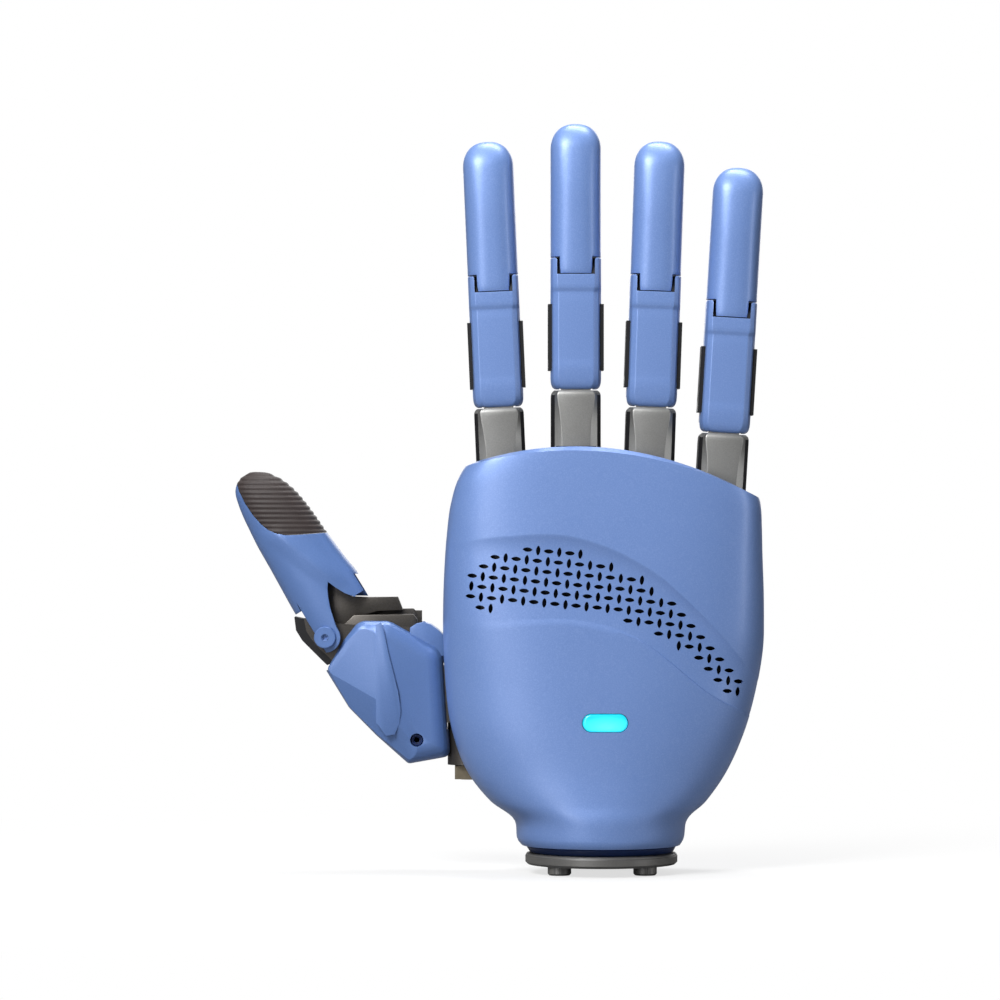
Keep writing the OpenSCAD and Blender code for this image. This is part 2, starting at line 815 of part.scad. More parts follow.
module thumb_base_cap() {
    slab(thumb_y - 5.5, thumb_y + 5.5)
        polygon([[-53, 68.8], [-53, 73.4], [-50.5, 74], [-47.4, 69.6], [-47.4, 65.8], [-48.4, 65.5]]);
}

module thumb_bumper() {
    slab(thumb_y - cheek_out, thumb_y + cheek_out)
        polygon(concat(CHEEK_EDGE, [[-82.4, 59.3], [-83.9, 60.7], [-86.9, 63.7],
            [-89.9, 66.7], [-91.8, 69.8], [-92.3, 73.8]]));
}

module thumb_crank() {
    difference() {
        union() {
            rod_y(thumb_y - cheek_in + 0.3, thumb_y + cheek_in - 0.3, piv[0], piv[1], 3.2);
            slab(thumb_y - cheek_in + 0.3, thumb_y + cheek_in - 0.3)
                polygon([[-84.8, 70.6], [-86, 74.4], [-82.2, 84.2], [-75, 79.9], [-69.6, 79.7],
                    [-61.2, 79.8], [-59.7, 75.9], [-67.3, 75.6], [-72.6, 74], [-80, 65.6]]);
        }
        rod_y(0, 30, piv[0], piv[1], pivot_r);
    }
}

module thumb_tip_pin() {
    rod_y(ty0 + 0.4, ty1 - 0.4, piv[0], piv[1], pivot_r - run);
    rod_y(ty0 - 0.5, ty0 + 0.4, piv[0], piv[1], 3.3);
}

// the thumb tip in its own frame: pivot at the origin, length along +Z, pad towards +X
module tip_frame() {
    translate([piv[0], thumb_y, piv[1]])
        rotate([0, -thumb_lean, 0])
            children();
}

// sections across the tip: height, left edge, right edge, share of the thickness
TIP = [
    [-4.6, -4.4, 18.2, 1],
    [12, -4.3, 18.2, 1],
    [18, -4.1, 17.4, 1],
    [26, -3.8, 16.6, 0.99],
    [34, -3.6, 16.1, 0.97],
    [40, -3.1, 15.4, 0.92],
    [44, -2.7, 14.5, 0.86],
    [48, -2, 12.9, 0.75],
    [51.5, -0.9, 10.4, 0.56],
    [53.5, 1, 7.8, 0.34],
    [54.4, 3, 5.8, 0.14]
];
tip_full = 54.4;

function tip_ring(q, g, m) = [for (i = [0 : m - 1])
    let (a = 360 * i / m, c = cos(a), s = sin(a), n = 2.6,
        h = (q[2] - q[1]) / 2 + g)
    [(q[1] + q[2]) / 2 + h * sign(c) * pow(abs(c), 2 / n),
        (thumb_t / 2 * q[3] + g) * sign(s) * pow(abs(s), 2 / n), q[0] * thumb_l / 54]];

module thumb_pad_side() {
    polygon([[30, 26.5], [11, 27], [7, 28.2], [4, 30.2], [1.2, 33.4], [-1, 38], [-2.2, 43],
        [-3, 49], [-3.4, 60], [30, 60]]);
}

module thumb_tip_shell() {
    tip_frame()
        difference() {
            loft([for (q = TIP) tip_ring(q, 0, 28)]);
            // room between the ears for the cheeks, bumper and crank
            slab(-cheek_out - 0.3, cheek_out + 0.3)
                polygon([[-20, -20], [30, -20], [30, 4], [12, 15.2], [10, 18], [-1.5, 18],
                    [-2.4, 11.6], [-20, 11.6]]);
            // the cut-out beside the ears
            slab(-30, 30)
                polygon([[4.6, -20], [4.6, 1], [5.3, 4.2], [7.05, 9.4], [9.4, 13.9],
                    [13.2, 6.4], [17.7, 3.7], [30, 2], [30, -20]]);
            // round ends of the ears
            slab(-30, 30)
                difference() {
                    translate([-15, -20])
                        square([30, 20]);
                    circle(r = 4.6);
                }
            rod_y(-30, 30, 0, 0, pivot_r);
            rod_y(-thumb_t / 2 - 1, -thumb_t / 2 + 0.4, 0, 0, 3.4);
            slab(-30, 30)
                thumb_pad_side();
        }
}

module thumb_tip_pad() {
    ribs = 12;
    z0 = 26;
    tip_frame()
        intersection() {
            loft([for (i = [0 : 2 * ribs])
                let (z = z0 + i * (tip_full - z0) / (2 * ribs), h = i % 2 == 0 ? -0.1 : rib_h)
                tip_ring([z, lookup(z, [for (q = TIP) [q[0], q[1]]]),
                    lookup(z, [for (q = TIP) [q[0], q[2]]]),
                    lookup(z, [for (q = TIP) [q[0], q[3]]])], h, 20)]);
            slab(-30, 30)
                thumb_pad_side();
        }
}

module thumb_part(p) {
    if (p == "thumb_shaft") color(grey) thumb_shaft();
    if (p == "thumb_frame") color(grey) thumb_frame();
    if (p == "thumb_front_cover") color(blue) thumb_front_cover();
    if (p == "thumb_back_cover") color(blue) thumb_back_cover();
    if (p == "thumb_base_cap") color(blue) thumb_base_cap();
    if (p == "thumb_screw") color(steel) thumb_screw();
    if (p == "thumb_bumper") color(dark) thumb_bumper();
    if (p == "thumb_crank") color(grey) thumb_crank();
    if (p == "thumb_tip_pin") color(blue) thumb_tip_pin();
    if (p == "thumb_tip_shell") color(blue) thumb_tip_shell();
    if (p == "thumb_tip_pad") color(rubber) thumb_tip_pad();
}

// ---- drawing ----

color(steel) wrist_flange();
color(steel) mounting_studs();
color(dark) wrist_collar();
color(dark) wrist_connector();
color(dark) palm_frame();
color(blue) dorsal_cover();
color(blue) palmar_cover();
color(rubber) palm_pad();
color([0.3, 0.9, 0.9]) light_window();
color([0.1, 0.35, 0.2]) light_board();
color([0.1, 0.35, 0.2]) control_board();
color(grey) finger_drives();
color(grey) thumb_drive();
color(steel) cover_screws();
for (i = [0 : 3])
    for (p = PARTS)
        finger_at(i) finger_part(p);
for (p = ["thumb_shaft", "thumb_frame", "thumb_front_cover", "thumb_back_cover",
    "thumb_base_cap", "thumb_screw", "thumb_bumper", "thumb_crank",
    "thumb_tip_pin", "thumb_tip_shell", "thumb_tip_pad"])
    thumb_part(p);
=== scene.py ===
# %% [markdown]
# # A dexterous robot hand
#
# The object is a right hand seen from its back: a moulded blue housing with a band of vents, four
# jointed fingers, a thumb on a short upright shaft, and a metal wrist flange. The CAD model gives
# every size and every moving body, and this lesson dresses it: each moulded part gets the smooth
# form and the finish that a CAD solid only outlines. Everything is in metres in the CAD's frame, so
# the only number that is ever converted is MM.

# %% Load the CAD frame
import bpy
import bmesh
import math
from mathutils import Matrix, Vector


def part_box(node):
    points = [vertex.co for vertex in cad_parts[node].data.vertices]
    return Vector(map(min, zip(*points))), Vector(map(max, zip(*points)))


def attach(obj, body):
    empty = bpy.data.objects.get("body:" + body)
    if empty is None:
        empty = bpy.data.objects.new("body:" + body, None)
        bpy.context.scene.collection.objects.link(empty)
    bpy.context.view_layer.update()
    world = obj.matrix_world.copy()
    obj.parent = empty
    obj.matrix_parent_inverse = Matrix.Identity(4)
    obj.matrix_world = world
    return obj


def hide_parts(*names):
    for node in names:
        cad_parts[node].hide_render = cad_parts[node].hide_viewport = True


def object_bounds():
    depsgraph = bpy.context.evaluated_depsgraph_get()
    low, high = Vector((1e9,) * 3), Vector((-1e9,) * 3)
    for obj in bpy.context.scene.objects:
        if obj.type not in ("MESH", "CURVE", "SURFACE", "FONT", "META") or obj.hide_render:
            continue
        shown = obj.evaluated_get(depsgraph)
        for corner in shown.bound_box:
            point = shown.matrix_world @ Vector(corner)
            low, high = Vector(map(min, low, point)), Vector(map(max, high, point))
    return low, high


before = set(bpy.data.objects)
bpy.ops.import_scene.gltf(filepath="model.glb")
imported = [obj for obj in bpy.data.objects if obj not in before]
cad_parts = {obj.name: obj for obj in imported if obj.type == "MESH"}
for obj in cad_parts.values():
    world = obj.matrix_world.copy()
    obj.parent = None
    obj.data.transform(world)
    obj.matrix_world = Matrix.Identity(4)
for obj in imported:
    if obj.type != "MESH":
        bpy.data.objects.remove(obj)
MM = 0.001
cad_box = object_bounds()
scene = bpy.context.scene

# %% [markdown]
# ## Camera
#
# The hand stands upright and is seen square from the back, from well over a metre. A long lens at
# that distance keeps the wrist and the fingertips in nearly the same scale. The camera could track
# an empty, but a plain rotation of 90 degrees about X is exact: it looks along +Y with +Z up.

# %% Camera
camera = bpy.data.objects.new("camera", bpy.data.cameras.new("camera"))
scene.collection.objects.link(camera)
DISTANCE, SENSOR, LENS = 1400, 36, 168
camera.location = (-30.4 * MM, -DISTANCE * MM, 109 * MM)
camera.rotation_euler = (math.pi / 2, 0, 0)
camera.data.sensor_width = SENSOR
camera.data.lens = LENS
scene.camera = camera
print("view width at the hand, mm:", round(DISTANCE * SENSOR / LENS))

# %% [markdown]
# ## Shader maths in plain Python
#
# A material here is a handful of masks and noises mixed together. Wiring them one link at a time is
# long and hard to read, so one small class wraps a socket and lets +, - and * add the Math node.
# The reflected forms are there too, so that 1 - mask works. The other class holds a material and
# makes any node from its type, its settings and the values or links of its sockets.

# %% A socket that can be calculated with
class Value:
    def __init__(self, mat, socket):
        self.mat, self.socket = mat, socket

    def math(self, operation, a, b):
        return self.mat.node("ShaderNodeMath", {"operation": operation}, {0: a, 1: b})

    def __add__(self, other):
        return self.math("ADD", self, other)

    def __radd__(self, other):
        return self.math("ADD", other, self)

    def __sub__(self, other):
        return self.math("SUBTRACT", self, other)

    def __rsub__(self, other):
        return self.math("SUBTRACT", other, self)

    def __mul__(self, other):
        return self.math("MULTIPLY", self, other)

    def __rmul__(self, other):
        return self.math("MULTIPLY", other, self)


# %% A material and its nodes
class Finish:
    def __init__(self, name, **constants):
        self.material = bpy.data.materials.new(name)
        self.material.use_nodes = True
        self.tree = self.material.node_tree
        self.shader = self.tree.nodes["Principled BSDF"]
        for socket, value in constants.items():
            self.shader.inputs[socket.replace("_", " ")].default_value = value
        self.place = self.node("ShaderNodeTexCoord", {}, {}, "Object")

    def node(self, kind, settings, sockets, out=0):
        made = self.tree.nodes.new(kind)
        for key, value in settings.items():
            setattr(made, key, value)
        for key, value in sockets.items():
            self.feed(made.inputs[key], value)
        return Value(self, made.outputs[out])

    def feed(self, socket, value):
        if isinstance(value, Value):
            self.tree.links.new(value.socket, socket)
        else:
            socket.default_value = value

    def set(self, socket, value):
        self.feed(self.shader.inputs[socket], value)

    def noise(self, scale, detail=2.0, roughness=0.5):
        return self.node("ShaderNodeTexNoise", {}, {"Vector": self.place, "Scale": scale,
                         "Detail": detail, "Roughness": roughness})

    def cells(self, scale):
        return self.node("ShaderNodeTexVoronoi", {}, {"Vector": self.place, "Scale": scale})

    def range(self, value, low, high, to_low=0.0, to_high=1.0):
        return self.node("ShaderNodeMapRange", {}, {"Value": value, "From Min": low,
                         "From Max": high, "To Min": to_low, "To Max": to_high})

    def mix(self, factor, a, b):
        return self.node("ShaderNodeMix", {"data_type": "RGBA"}, {0: factor, 6: a, 7: b}, 2)

    def axis(self, index):
        return self.node("ShaderNodeSeparateXYZ", {}, {0: self.place}, index)

    def bump(self, height, strength, distance):
        self.set("Normal", self.node("ShaderNodeBump", {}, {"Strength": strength,
                 "Distance": distance, "Height": height}))


def shade(red, green, blue):
    """A colour as it is seen on a screen, turned into the light values that a shader takes."""
    def light(c):
        c /= 255
        return c / 12.92 if c <= 0.04045 else ((c + 0.055) / 1.055) ** 2.4
    return (light(red), light(green), light(blue), 1.0)


print("shader helpers ready")

# %% [markdown]
# ## The satin blue of the covers
#
# The covers are moulded plastic with a fine metallic paint: a mid blue that goes pale where it
# catches the light, with a speckle so fine that it only shows as a grain. It could be a metal, but
# a metal loses its colour in a white room. A dielectric with a soft coat keeps the blue, a small
# share of Metallic lets the flakes lift the highlights, and two noises and a cell pattern give the
# speckle, the unevenness of the spray and the flakes that break up the reflection. The thumb's
# covers are the same plastic, but they take a darker copy of the blue that paints the shade the
# thumb stands in, so the same function makes both blues.

# %% Cover blue
def cover_blue(name, dark, pale, fleck):
    finish = Finish(name, Coat_Roughness=0.28, Coat_IOR=1.45, IOR=1.5)
    speck = finish.noise(2600, 1.0, 0.6)
    spray = finish.noise(60, 3.0, 0.55)
    flake = finish.cells(4200)
    base = finish.mix(spray, dark, pale)
    spots = finish.range(speck, 0.42, 0.72)
    base = finish.mix(spots * 0.5, base, fleck)
    deep = finish.range(flake, 0.0, 0.5, 1.0, 0.0)
    base = finish.mix(deep * 0.14, base, shade(66, 96, 160))
    finish.set("Base Color", base)
    finish.set("Metallic", 0.18 + 0.16 * spots)
    finish.set("Roughness", 0.43 + 0.1 * speck - 0.04 * spray)
    finish.set("Coat Weight", 0.42 + 0.1 * spray)
    finish.bump(speck + 0.4 * flake, 0.12, 0.00006)
    return finish.material


blue = cover_blue("cover_blue", shade(102, 134, 194), shade(111, 142, 202),
                  shade(134, 160, 213))
# Painted shade: a darker copy of the same blue stands in for the shade on the thumb's covers.
thumb_shaded_blue = cover_blue("thumb_shaded_blue", shade(86, 119, 177), shade(93, 125, 184),
                        shade(106, 136, 192))
print("made", blue.name, thumb_shaded_blue.name)

# %% [markdown]
# ## Metals and dark plastics
#
# The knuckles are bead-blasted aluminium, the flange is a darker turned metal, the pins are bright
# steel, and the frames inside are black glass-filled plastic. Each differs in the size of its grain
# more than in its colour: blasting leaves tiny even pits, turning leaves rings round the axis, and a
# moulded frame has a soft, uneven sheen. The rings could be an image, but a Wave texture in its
# Rings form follows the axis of the flange exactly.

# %% Knuckle metal, pin steel and drive metal
def blasted_metal(name, dark, pale, roughness, grain):
    finish = Finish(name)
    pits = finish.noise(grain, 2.0, 0.7)
    smear = finish.noise(45, 3.0, 0.5)
    base = finish.mix(pits, dark, pale)
    base = finish.mix(finish.range(smear, 0.55, 0.8) * 0.25, base, dark)
    finish.set("Base Color", base)
    finish.set("Metallic", 0.82 + 0.1 * smear)
    finish.set("Roughness", roughness + 0.14 * pits - 0.06 * smear)
    finish.bump(pits, 0.25, 0.00004)
    return finish.material


knuckle_grey = blasted_metal("knuckle_metal", shade(138, 138, 137), shade(170, 170, 168), 0.42,
                             3200)
pin_steel = blasted_metal("pin_steel", shade(150, 151, 153), shade(196, 197, 199), 0.24, 1500)
drive_metal = blasted_metal("drive_metal", shade(120, 120, 122), shade(165, 165, 168), 0.34, 1200)
thumb_metal = blasted_metal("thumb_metal", shade(70, 67, 64), shade(98, 94, 90), 0.4, 2800)
shaft_bronze = blasted_metal("shaft_bronze", shade(120, 108, 90), shade(150, 138, 116), 0.36, 1800)
print("made", [m.name for m in (knuckle_grey, pin_steel, drive_metal, thumb_metal, shaft_bronze)])


# %% Turned metal of the flange
def turned_metal():
    finish = Finish("flange_metal")
    rings = finish.node("ShaderNodeTexWave", {"wave_type": "RINGS", "rings_direction": "Z"},
                        {"Vector": finish.place, "Scale": 900.0, "Distortion": 0.6,
                         "Detail": 2.0, "Detail Scale": 2.0})
    stain = finish.noise(120, 4.0, 0.6)
    base = finish.mix(rings * 0.6, shade(98, 98, 98), shade(134, 132, 128))
    base = finish.mix(finish.range(stain, 0.5, 0.8) * 0.4, base, shade(84, 83, 83))
    finish.set("Base Color", base)
    finish.set("Metallic", 0.45 + 0.15 * stain)
    finish.set("Roughness", 0.3 + 0.12 * rings + 0.1 * stain)
    finish.bump(rings, 0.12, 0.00003)
    return finish.material


flange_metal = turned_metal()
print("made", flange_metal.name)


# %% Black plastic, navy plastic and board green
def moulded_plastic(name, dark, pale, roughness, scale=900):
    finish = Finish(name, IOR=1.42)
    grain = finish.noise(scale, 2.0, 0.6)
    cloud = finish.noise(70, 3.0, 0.5)
    base = finish.mix(cloud, dark, pale)
    finish.set("Base Color", finish.mix(grain * 0.3, base, pale))
    finish.set("Roughness", roughness + 0.12 * grain - 0.08 * cloud)
    finish.bump(grain, 0.3, 0.00005)
    return finish.material


black_plastic = moulded_plastic("frame_black", shade(12, 12, 14), shade(24, 24, 27), 0.48)
navy_plastic = moulded_plastic("collar_navy", shade(16, 34, 74), shade(26, 48, 96), 0.42)
board_green = moulded_plastic("board_green", shade(12, 62, 38), shade(22, 86, 54), 0.38, 400)
print("made", black_plastic.name, navy_plastic.name, board_green.name)

# %% [markdown]
# ## Grip rubber
#
# The pads are a brown-black silicone with a dull, slightly dusty surface. Rubber shows its softness
# through very wide highlights and a fine mottle, so the roughness stays high and varies a little,
# and the ribs themselves are real geometry.

# %% Grip rubber
def grip_rubber():
    finish = Finish("grip_rubber", IOR=1.48, Sheen_Weight=0.12, Sheen_Roughness=0.5)
    dust = finish.noise(320, 4.0, 0.65)
    mottle = finish.cells(1600)
    base = finish.mix(dust, shade(36, 27, 27), shade(56, 45, 43))
    finish.set("Base Color", finish.mix(finish.range(mottle, 0.0, 0.6, 0.35, 0.0), base,
                                        shade(26, 21, 22)))
    finish.set("Roughness", 0.52 + 0.16 * dust)
    finish.bump(mottle + dust, 0.2, 0.00008)
    return finish.material


rubber = grip_rubber()
print("made", rubber.name)

# %% [markdown]
# ## The status light
#
# A cyan diffuser sits in an opening below the vents. Behind it the lamps are not quite even, so it
# is brightest in the middle and falls off towards the rim. The emission does the work, and a smooth
# clear coat lets the window still look like a piece of plastic.

# %% Light cyan
def light_cyan():
    finish = Finish("light_cyan", Roughness=0.25, Emission_Strength=0.9)
    low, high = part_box("light_window")
    mid = (Vector(low) + Vector(high)) / 2
    centred = finish.node("ShaderNodeMapping", {"vector_type": "TEXTURE"},
                          {"Vector": finish.place, "Location": (mid.x, 0, mid.z),
                           "Scale": ((high[0] - low[0]) / 2, 1000.0, (high[2] - low[2]) / 2)})
    far = finish.node("ShaderNodeVectorMath", {"operation": "LENGTH"}, {0: centred}, 1)
    glow = finish.range(far, 0.15, 1.25, 1.0, 0.0)
    dots = finish.noise(700, 2.0, 0.6)
    base = finish.mix(glow * (0.85 + 0.3 * dots), shade(28, 178, 196), shade(74, 236, 244))
    finish.set("Base Color", base)
    finish.set("Emission Color", base)
    return finish.material


cyan = light_cyan()
print("made", cyan.name)

# %% [markdown]
# ## From mesh tools to a finished piece
#
# Every piece goes through the same last steps: its doubles are merged, its faces are turned
# outwards, its smooth faces are split from its crisp edges by angle, it is hung on the body it
# moves with, the CAD nodes it stands for are hidden, and it takes its finish. One short function
# keeps that in one place, so that no piece is left behind.

# %% Finish a piece
def piece(name, bm, material, body, nodes=(), crease=34.0, weld=0.00001):
    if weld:
        bmesh.ops.remove_doubles(bm, verts=bm.verts, dist=weld)
    bmesh.ops.recalc_face_normals(bm, faces=bm.faces)
    for edge in bm.edges:
        edge.smooth = len(edge.link_faces) == 2 and edge.calc_face_angle() < math.radians(crease)
    for face in bm.faces:
        face.smooth = True
    mesh = bpy.data.meshes.new(name)
    bm.to_mesh(mesh)
    bm.free()
    mesh.materials.append(material)
    made = bpy.data.objects.new(name, mesh)
    scene.collection.objects.link(made)
    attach(made, body)
    if nodes:
        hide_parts(*nodes)
    return made


def keep_result(made):
    """Keeps what the modifiers make as plain mesh, so that no modifier is live."""
    bpy.context.view_layer.update()
    graph = bpy.context.evaluated_depsgraph_get()
    mesh = bpy.data.meshes.new_from_object(made.evaluated_get(graph))
    made.modifiers.clear()
    old, made.data = made.data, mesh
    bpy.data.meshes.remove(old)


def throw_away(made):
    mesh = made.data
    bpy.data.objects.remove(made)
    bpy.data.meshes.remove(mesh)


def combine(target, others, operation):
    """Cuts, joins or intersects a shape with throw-away shapes, by Booleans."""
    for other in others:
        modifier = target.modifiers.new(operation.lower(), "BOOLEAN")
        modifier.operation, modifier.solver, modifier.object = operation, "EXACT", other
    keep_result(target)
    for other in others:
        throw_away(other)


def cut_with(target, cutters):
    combine(target, cutters, "DIFFERENCE")


def join_with(target, other):
    combine(target, [other], "UNION")


def keep_common(target, other):
    combine(target, [other], "INTERSECT")


def cutter(bm):
    """A throw-away object, for a Boolean or to be copied to its places."""
    bmesh.ops.recalc_face_normals(bm, faces=bm.faces)
    mesh = bpy.data.meshes.new("cutter")
    bm.to_mesh(mesh)
    bm.free()
    made = bpy.data.objects.new("cutter", mesh)
    scene.collection.objects.link(made)
    return made


def crease_by_angle(made, limit):
    """Splits smooth from crisp after a Boolean."""
    bm = bmesh.new()
    bm.from_mesh(made.data)
    for edge in bm.edges:
        edge.smooth = len(edge.link_faces) == 2 and edge.calc_face_angle() < math.radians(limit)
    for face in bm.faces:
        face.smooth = True
    bm.to_mesh(made.data)
    bm.free()


def box(bm, low, high, bevel=0.0, segments=2):
    """A box between two corners in millimetres, with all its edges rounded."""
    made = bmesh.ops.create_cube(bm, size=1.0)["verts"]
    for vert in made:
        for axis in range(3):
            vert.co[axis] = (low[axis] if vert.co[axis] < 0 else high[axis]) * MM
    if bevel:
        edges = list({edge for vert in made for edge in vert.link_edges})
        bmesh.ops.bevel(bm, geom=edges, offset=bevel * MM, segments=segments, affect="EDGES",
                        profile=0.5, material=-1)
    return made


def turned(bm, outline, steps=96, axis=(0, 0, 1), center=(0, 0, 0)):
    """A turned part: an outline of radius and height, spun once round the axis."""
    spot = Vector(center) * MM
    turn = Vector((0, 0, 1)).rotation_difference(Vector(axis)).to_matrix()
    rail = [bm.verts.new(spot + turn @ (Vector((r, 0, z)) * MM)) for r, z in outline]
    edges = [bm.edges.new(pair) for pair in zip(rail, rail[1:])]
    bmesh.ops.spin(bm, geom=rail + edges, cent=spot, axis=turn @ Vector((0, 0, 1)),
                   angle=2 * math.pi, steps=steps, use_merge=True)


print("piece helpers ready")

# %% [markdown]
# ## Wrist flange and studs
#
# The wrist ends in a turned metal disc with four short studs below it. Both are bodies of
# revolution, so an outline of a few points is spun round the axis. The outlines carry the chamfers
# and the shallow groove that turning leaves, which is simpler than bevelling a cylinder afterwards.
# The dark collar above the disc follows the housing's own section and is made after it.

# %% Flange
bore = 8.0
low, high = (Vector(v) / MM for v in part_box("wrist_flange"))
rim, top = high.x, high.z
bm = bmesh.new()
turned(bm, [(bore, 0.5), (bore + 0.5, 0), (rim - 4.2, 0), (rim - 0.7, 0), (rim, 0.7),
            (rim, top - 0.9), (rim - 0.25, top - 0.55), (rim - 0.25, top - 0.4),
            (rim - 0.5, top - 0.12), (rim - 0.9, top), (bore + 0.5, top), (bore, top - 0.5),
            (bore, 0.5)], 128)
piece("flange", bm, flange_metal, "palm", ["wrist_flange"], 25)
print("flange radius", round(rim, 1), "mm, thickness", round(top, 1), "mm")

# %% Studs with hex sockets
low, high = (Vector(v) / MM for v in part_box("mounting_studs"))
stud_r = 3.5
reach = (high.x - stud_r) * math.sqrt(2)
bm = bmesh.new()
for turn in range(4):
    angle = math.radians(45 + 90 * turn)
    spot = (reach * math.cos(angle), reach * math.sin(angle), 0)
    turned(bm, [(0, 0.3), (stud_r, 0.3), (stud_r, low.z + 0.5), (stud_r - 0.45, low.z),
                (1.9, low.z), (1.6, low.z + 0.3), (1.6, low.z + 1.4), (0, low.z + 1.4)],
           40, center=spot)
piece("studs", bm, flange_metal, "palm", ["mounting_studs"], 30)
print("studs stand", round(-low.z, 1), "mm below the flange")

# %% [markdown]
# ## The housing's form
#
# The housing is a two-part moulding: a waist at the wrist, a swelling body and a slanting top. Its
# shape is told by fourteen level stations, each with its left and right edge, the rise in the
# middle, the depth and how square the section is. Between them a cubic curve carries every number,
# which gives the soft flow that straight lofting between stations can't. A subdivision cage would
# also be soft, but its surface could only be steered by eye, and this one can be asked for a point.

# %% Stations and the curve between them
STATIONS = [
    (-22.6, 4.4, 22.6, 4.4, 0, 1.10, 1.13, 2.05), (-25.2, 7.4, 24.6, 7.4, 0, 1.20, 1.23, 2.05),
    (-25.8, 12.5, 25.4, 12.5, 0, 1.20, 1.23, 2.1), (-33.3, 18.8, 31.4, 18.8, 0, 1.14, 1.16, 2.2),
    (-40.1, 27.4, 37.4, 27.4, 0, 1.08, 1.11, 2.25), (-44.6, 39.2, 42.7, 39.2, 0, 1.04, 1.08, 2.4),
    (-47.0, 57.3, 47.4, 57.3, 0, 1, 1.04, 2.6), (-47.5, 72, 48.7, 70, 0.5, 0.975, 1, 2.9),
    (-47.2, 86, 48.6, 82, 1.5, 0.945, 0.92, 3.2), (-46.4, 98, 48.2, 93, 3.6, 0.91, 0.84, 3.5),
    (-45.1, 108, 48, 101, 6, 0.875, 0.78, 3.8), (-42.9, 115.3, 47.7, 106.8, 8, 0.85, 0.75, 4),
    (-40.8, 118.9, 47.2, 109.4, 8.7, 0.837, 0.74, 4), (-39.5, 120.3, 46.7, 110.4, 8.9, 0.83, 0.74, 4)]
KNOTS = [0.0]
for lower, upper in zip(STATIONS, STATIONS[1:]):
    KNOTS.append(KNOTS[-1] + math.hypot(upper[1] - lower[1], (upper[0] - lower[0])))
REACH = KNOTS[-1]


def tangent(i, j):
    if i in (0, len(KNOTS) - 1):
        a = max(i - 1, 0)
        return (STATIONS[a + 1][j] - STATIONS[a][j]) / (KNOTS[a + 1] - KNOTS[a])
    before = (STATIONS[i][j] - STATIONS[i - 1][j]) / (KNOTS[i] - KNOTS[i - 1])
    after = (STATIONS[i + 1][j] - STATIONS[i][j]) / (KNOTS[i + 1] - KNOTS[i])
    if before * after <= 0:
        return 0.0
    span = KNOTS[i + 1] - KNOTS[i - 1]
    mean = (before * (KNOTS[i + 1] - KNOTS[i]) + after * (KNOTS[i] - KNOTS[i - 1])) / span
    return math.copysign(min(abs(mean), 3 * abs(before), 3 * abs(after)), mean)


TANGENTS = [[tangent(i, j) for j in range(8)] for i in range(len(STATIONS))]


def station(s):
    """All eight numbers of the section at the distance s along the housing."""
    i = max(k for k in range(len(KNOTS) - 1) if KNOTS[k] <= s or k == 0)
    span = KNOTS[i + 1] - KNOTS[i]
    t = min(max((s - KNOTS[i]) / span, 0), 1)
    a, b = (1 + 2 * t) * (1 - t) ** 2, t * (1 - t) ** 2 * span
    c, d = t * t * (3 - 2 * t), t * t * (t - 1) * span
    return [a * STATIONS[i][j] + b * TANGENTS[i][j] + c * STATIONS[i + 1][j]
            + d * TANGENTS[i + 1][j] for j in range(8)]


print("housing curve length, mm:", round(REACH, 1))

# %% A point on the housing
BACK_DEPTH, PALM_DEPTH = 19.5, 19.0
BACK, PALM = -1, 1


def housing_point(turn, s, side, inset=0.0, sunk=0.0):
    """turn runs from 0 at the left seam to pi at the right one, and side is BACK or PALM."""
    xl, zl, xr, zr, rise, back, palm, n = station(s)
    c, v = -math.cos(turn), max(math.sin(turn), 0.0)
    r = (abs(c) ** n + v ** n) ** (-1 / n)
    u, v = c * r, v * r
    depth = (BACK_DEPTH * back if side == BACK else PALM_DEPTH * palm) - inset
    x = xl + (xr - xl) * (u + 1) / 2 - inset * u
    z = zl + (zr - zl) * (u + 1) / 2 + rise * (1 - u * u)
    return Vector((x - sunk * 0.25 * u, side * (depth * v - sunk * v), z))


def at_height(turn, side, z):
    """The distance along the housing at which this column reaches a height."""
    low, high = 0.0, REACH
    for _ in range(22):
        mid = (low + high) / 2
        if housing_point(turn, mid, side).z < z:
            low = mid
        else:
            high = mid
    return (low + high) / 2


middle = housing_point(math.pi / 2, REACH * 0.6, BACK)
print("a point on the back, mm:", [round(v, 1) for v in middle])

# %% [markdown]
# ## The sunken band
#
# A band sweeps over the back of the hand like the edge of a leaf. Its upper edge is crisp: the
# surface drops away there in a short hollow and then rises slowly to the lower edge. Sculpting that
# on an even grid would leave a saw-tooth edge, so the grid's own rows are led along both edges of
# the band, and the drop happens between two rows.

# %% Edges and depth of the band
BAND = [(-60, 95.5, 73.0), (-42, 96.4, 73.4), (-34, 97.8, 72.4), (-27, 98.3, 72.8),
        (-19, 98.8, 73.4), (-12, 98.6, 73.5), (-6, 97.5, 72.9), (1, 95.2, 71.5),
        (6.8, 92.7, 69.6), (12, 89.8, 67.2), (16.7, 86.7, 63.9), (23, 81.2, 58.8),
        (29.5, 75, 53.4), (35, 69.2, 49.8), (38.5, 65.2, 48), (43.4, 59.4, 45.4), (60, 42, 36)]
BAND_DEPTH = [(-60, 0, 5), (-44, 0.1, 5), (-36, 0.45, 5), (-20, 1.0, 5.5), (-5, 1.7, 7),
              (10, 2.3, 9), (25, 2.8, 11), (60, 2.8, 12)]
LOWER_STEP = [(-60, 0.1), (-20, 0.1), (0, 0.12), (16, 0.16), (30, 0.22), (60, 0.25)]


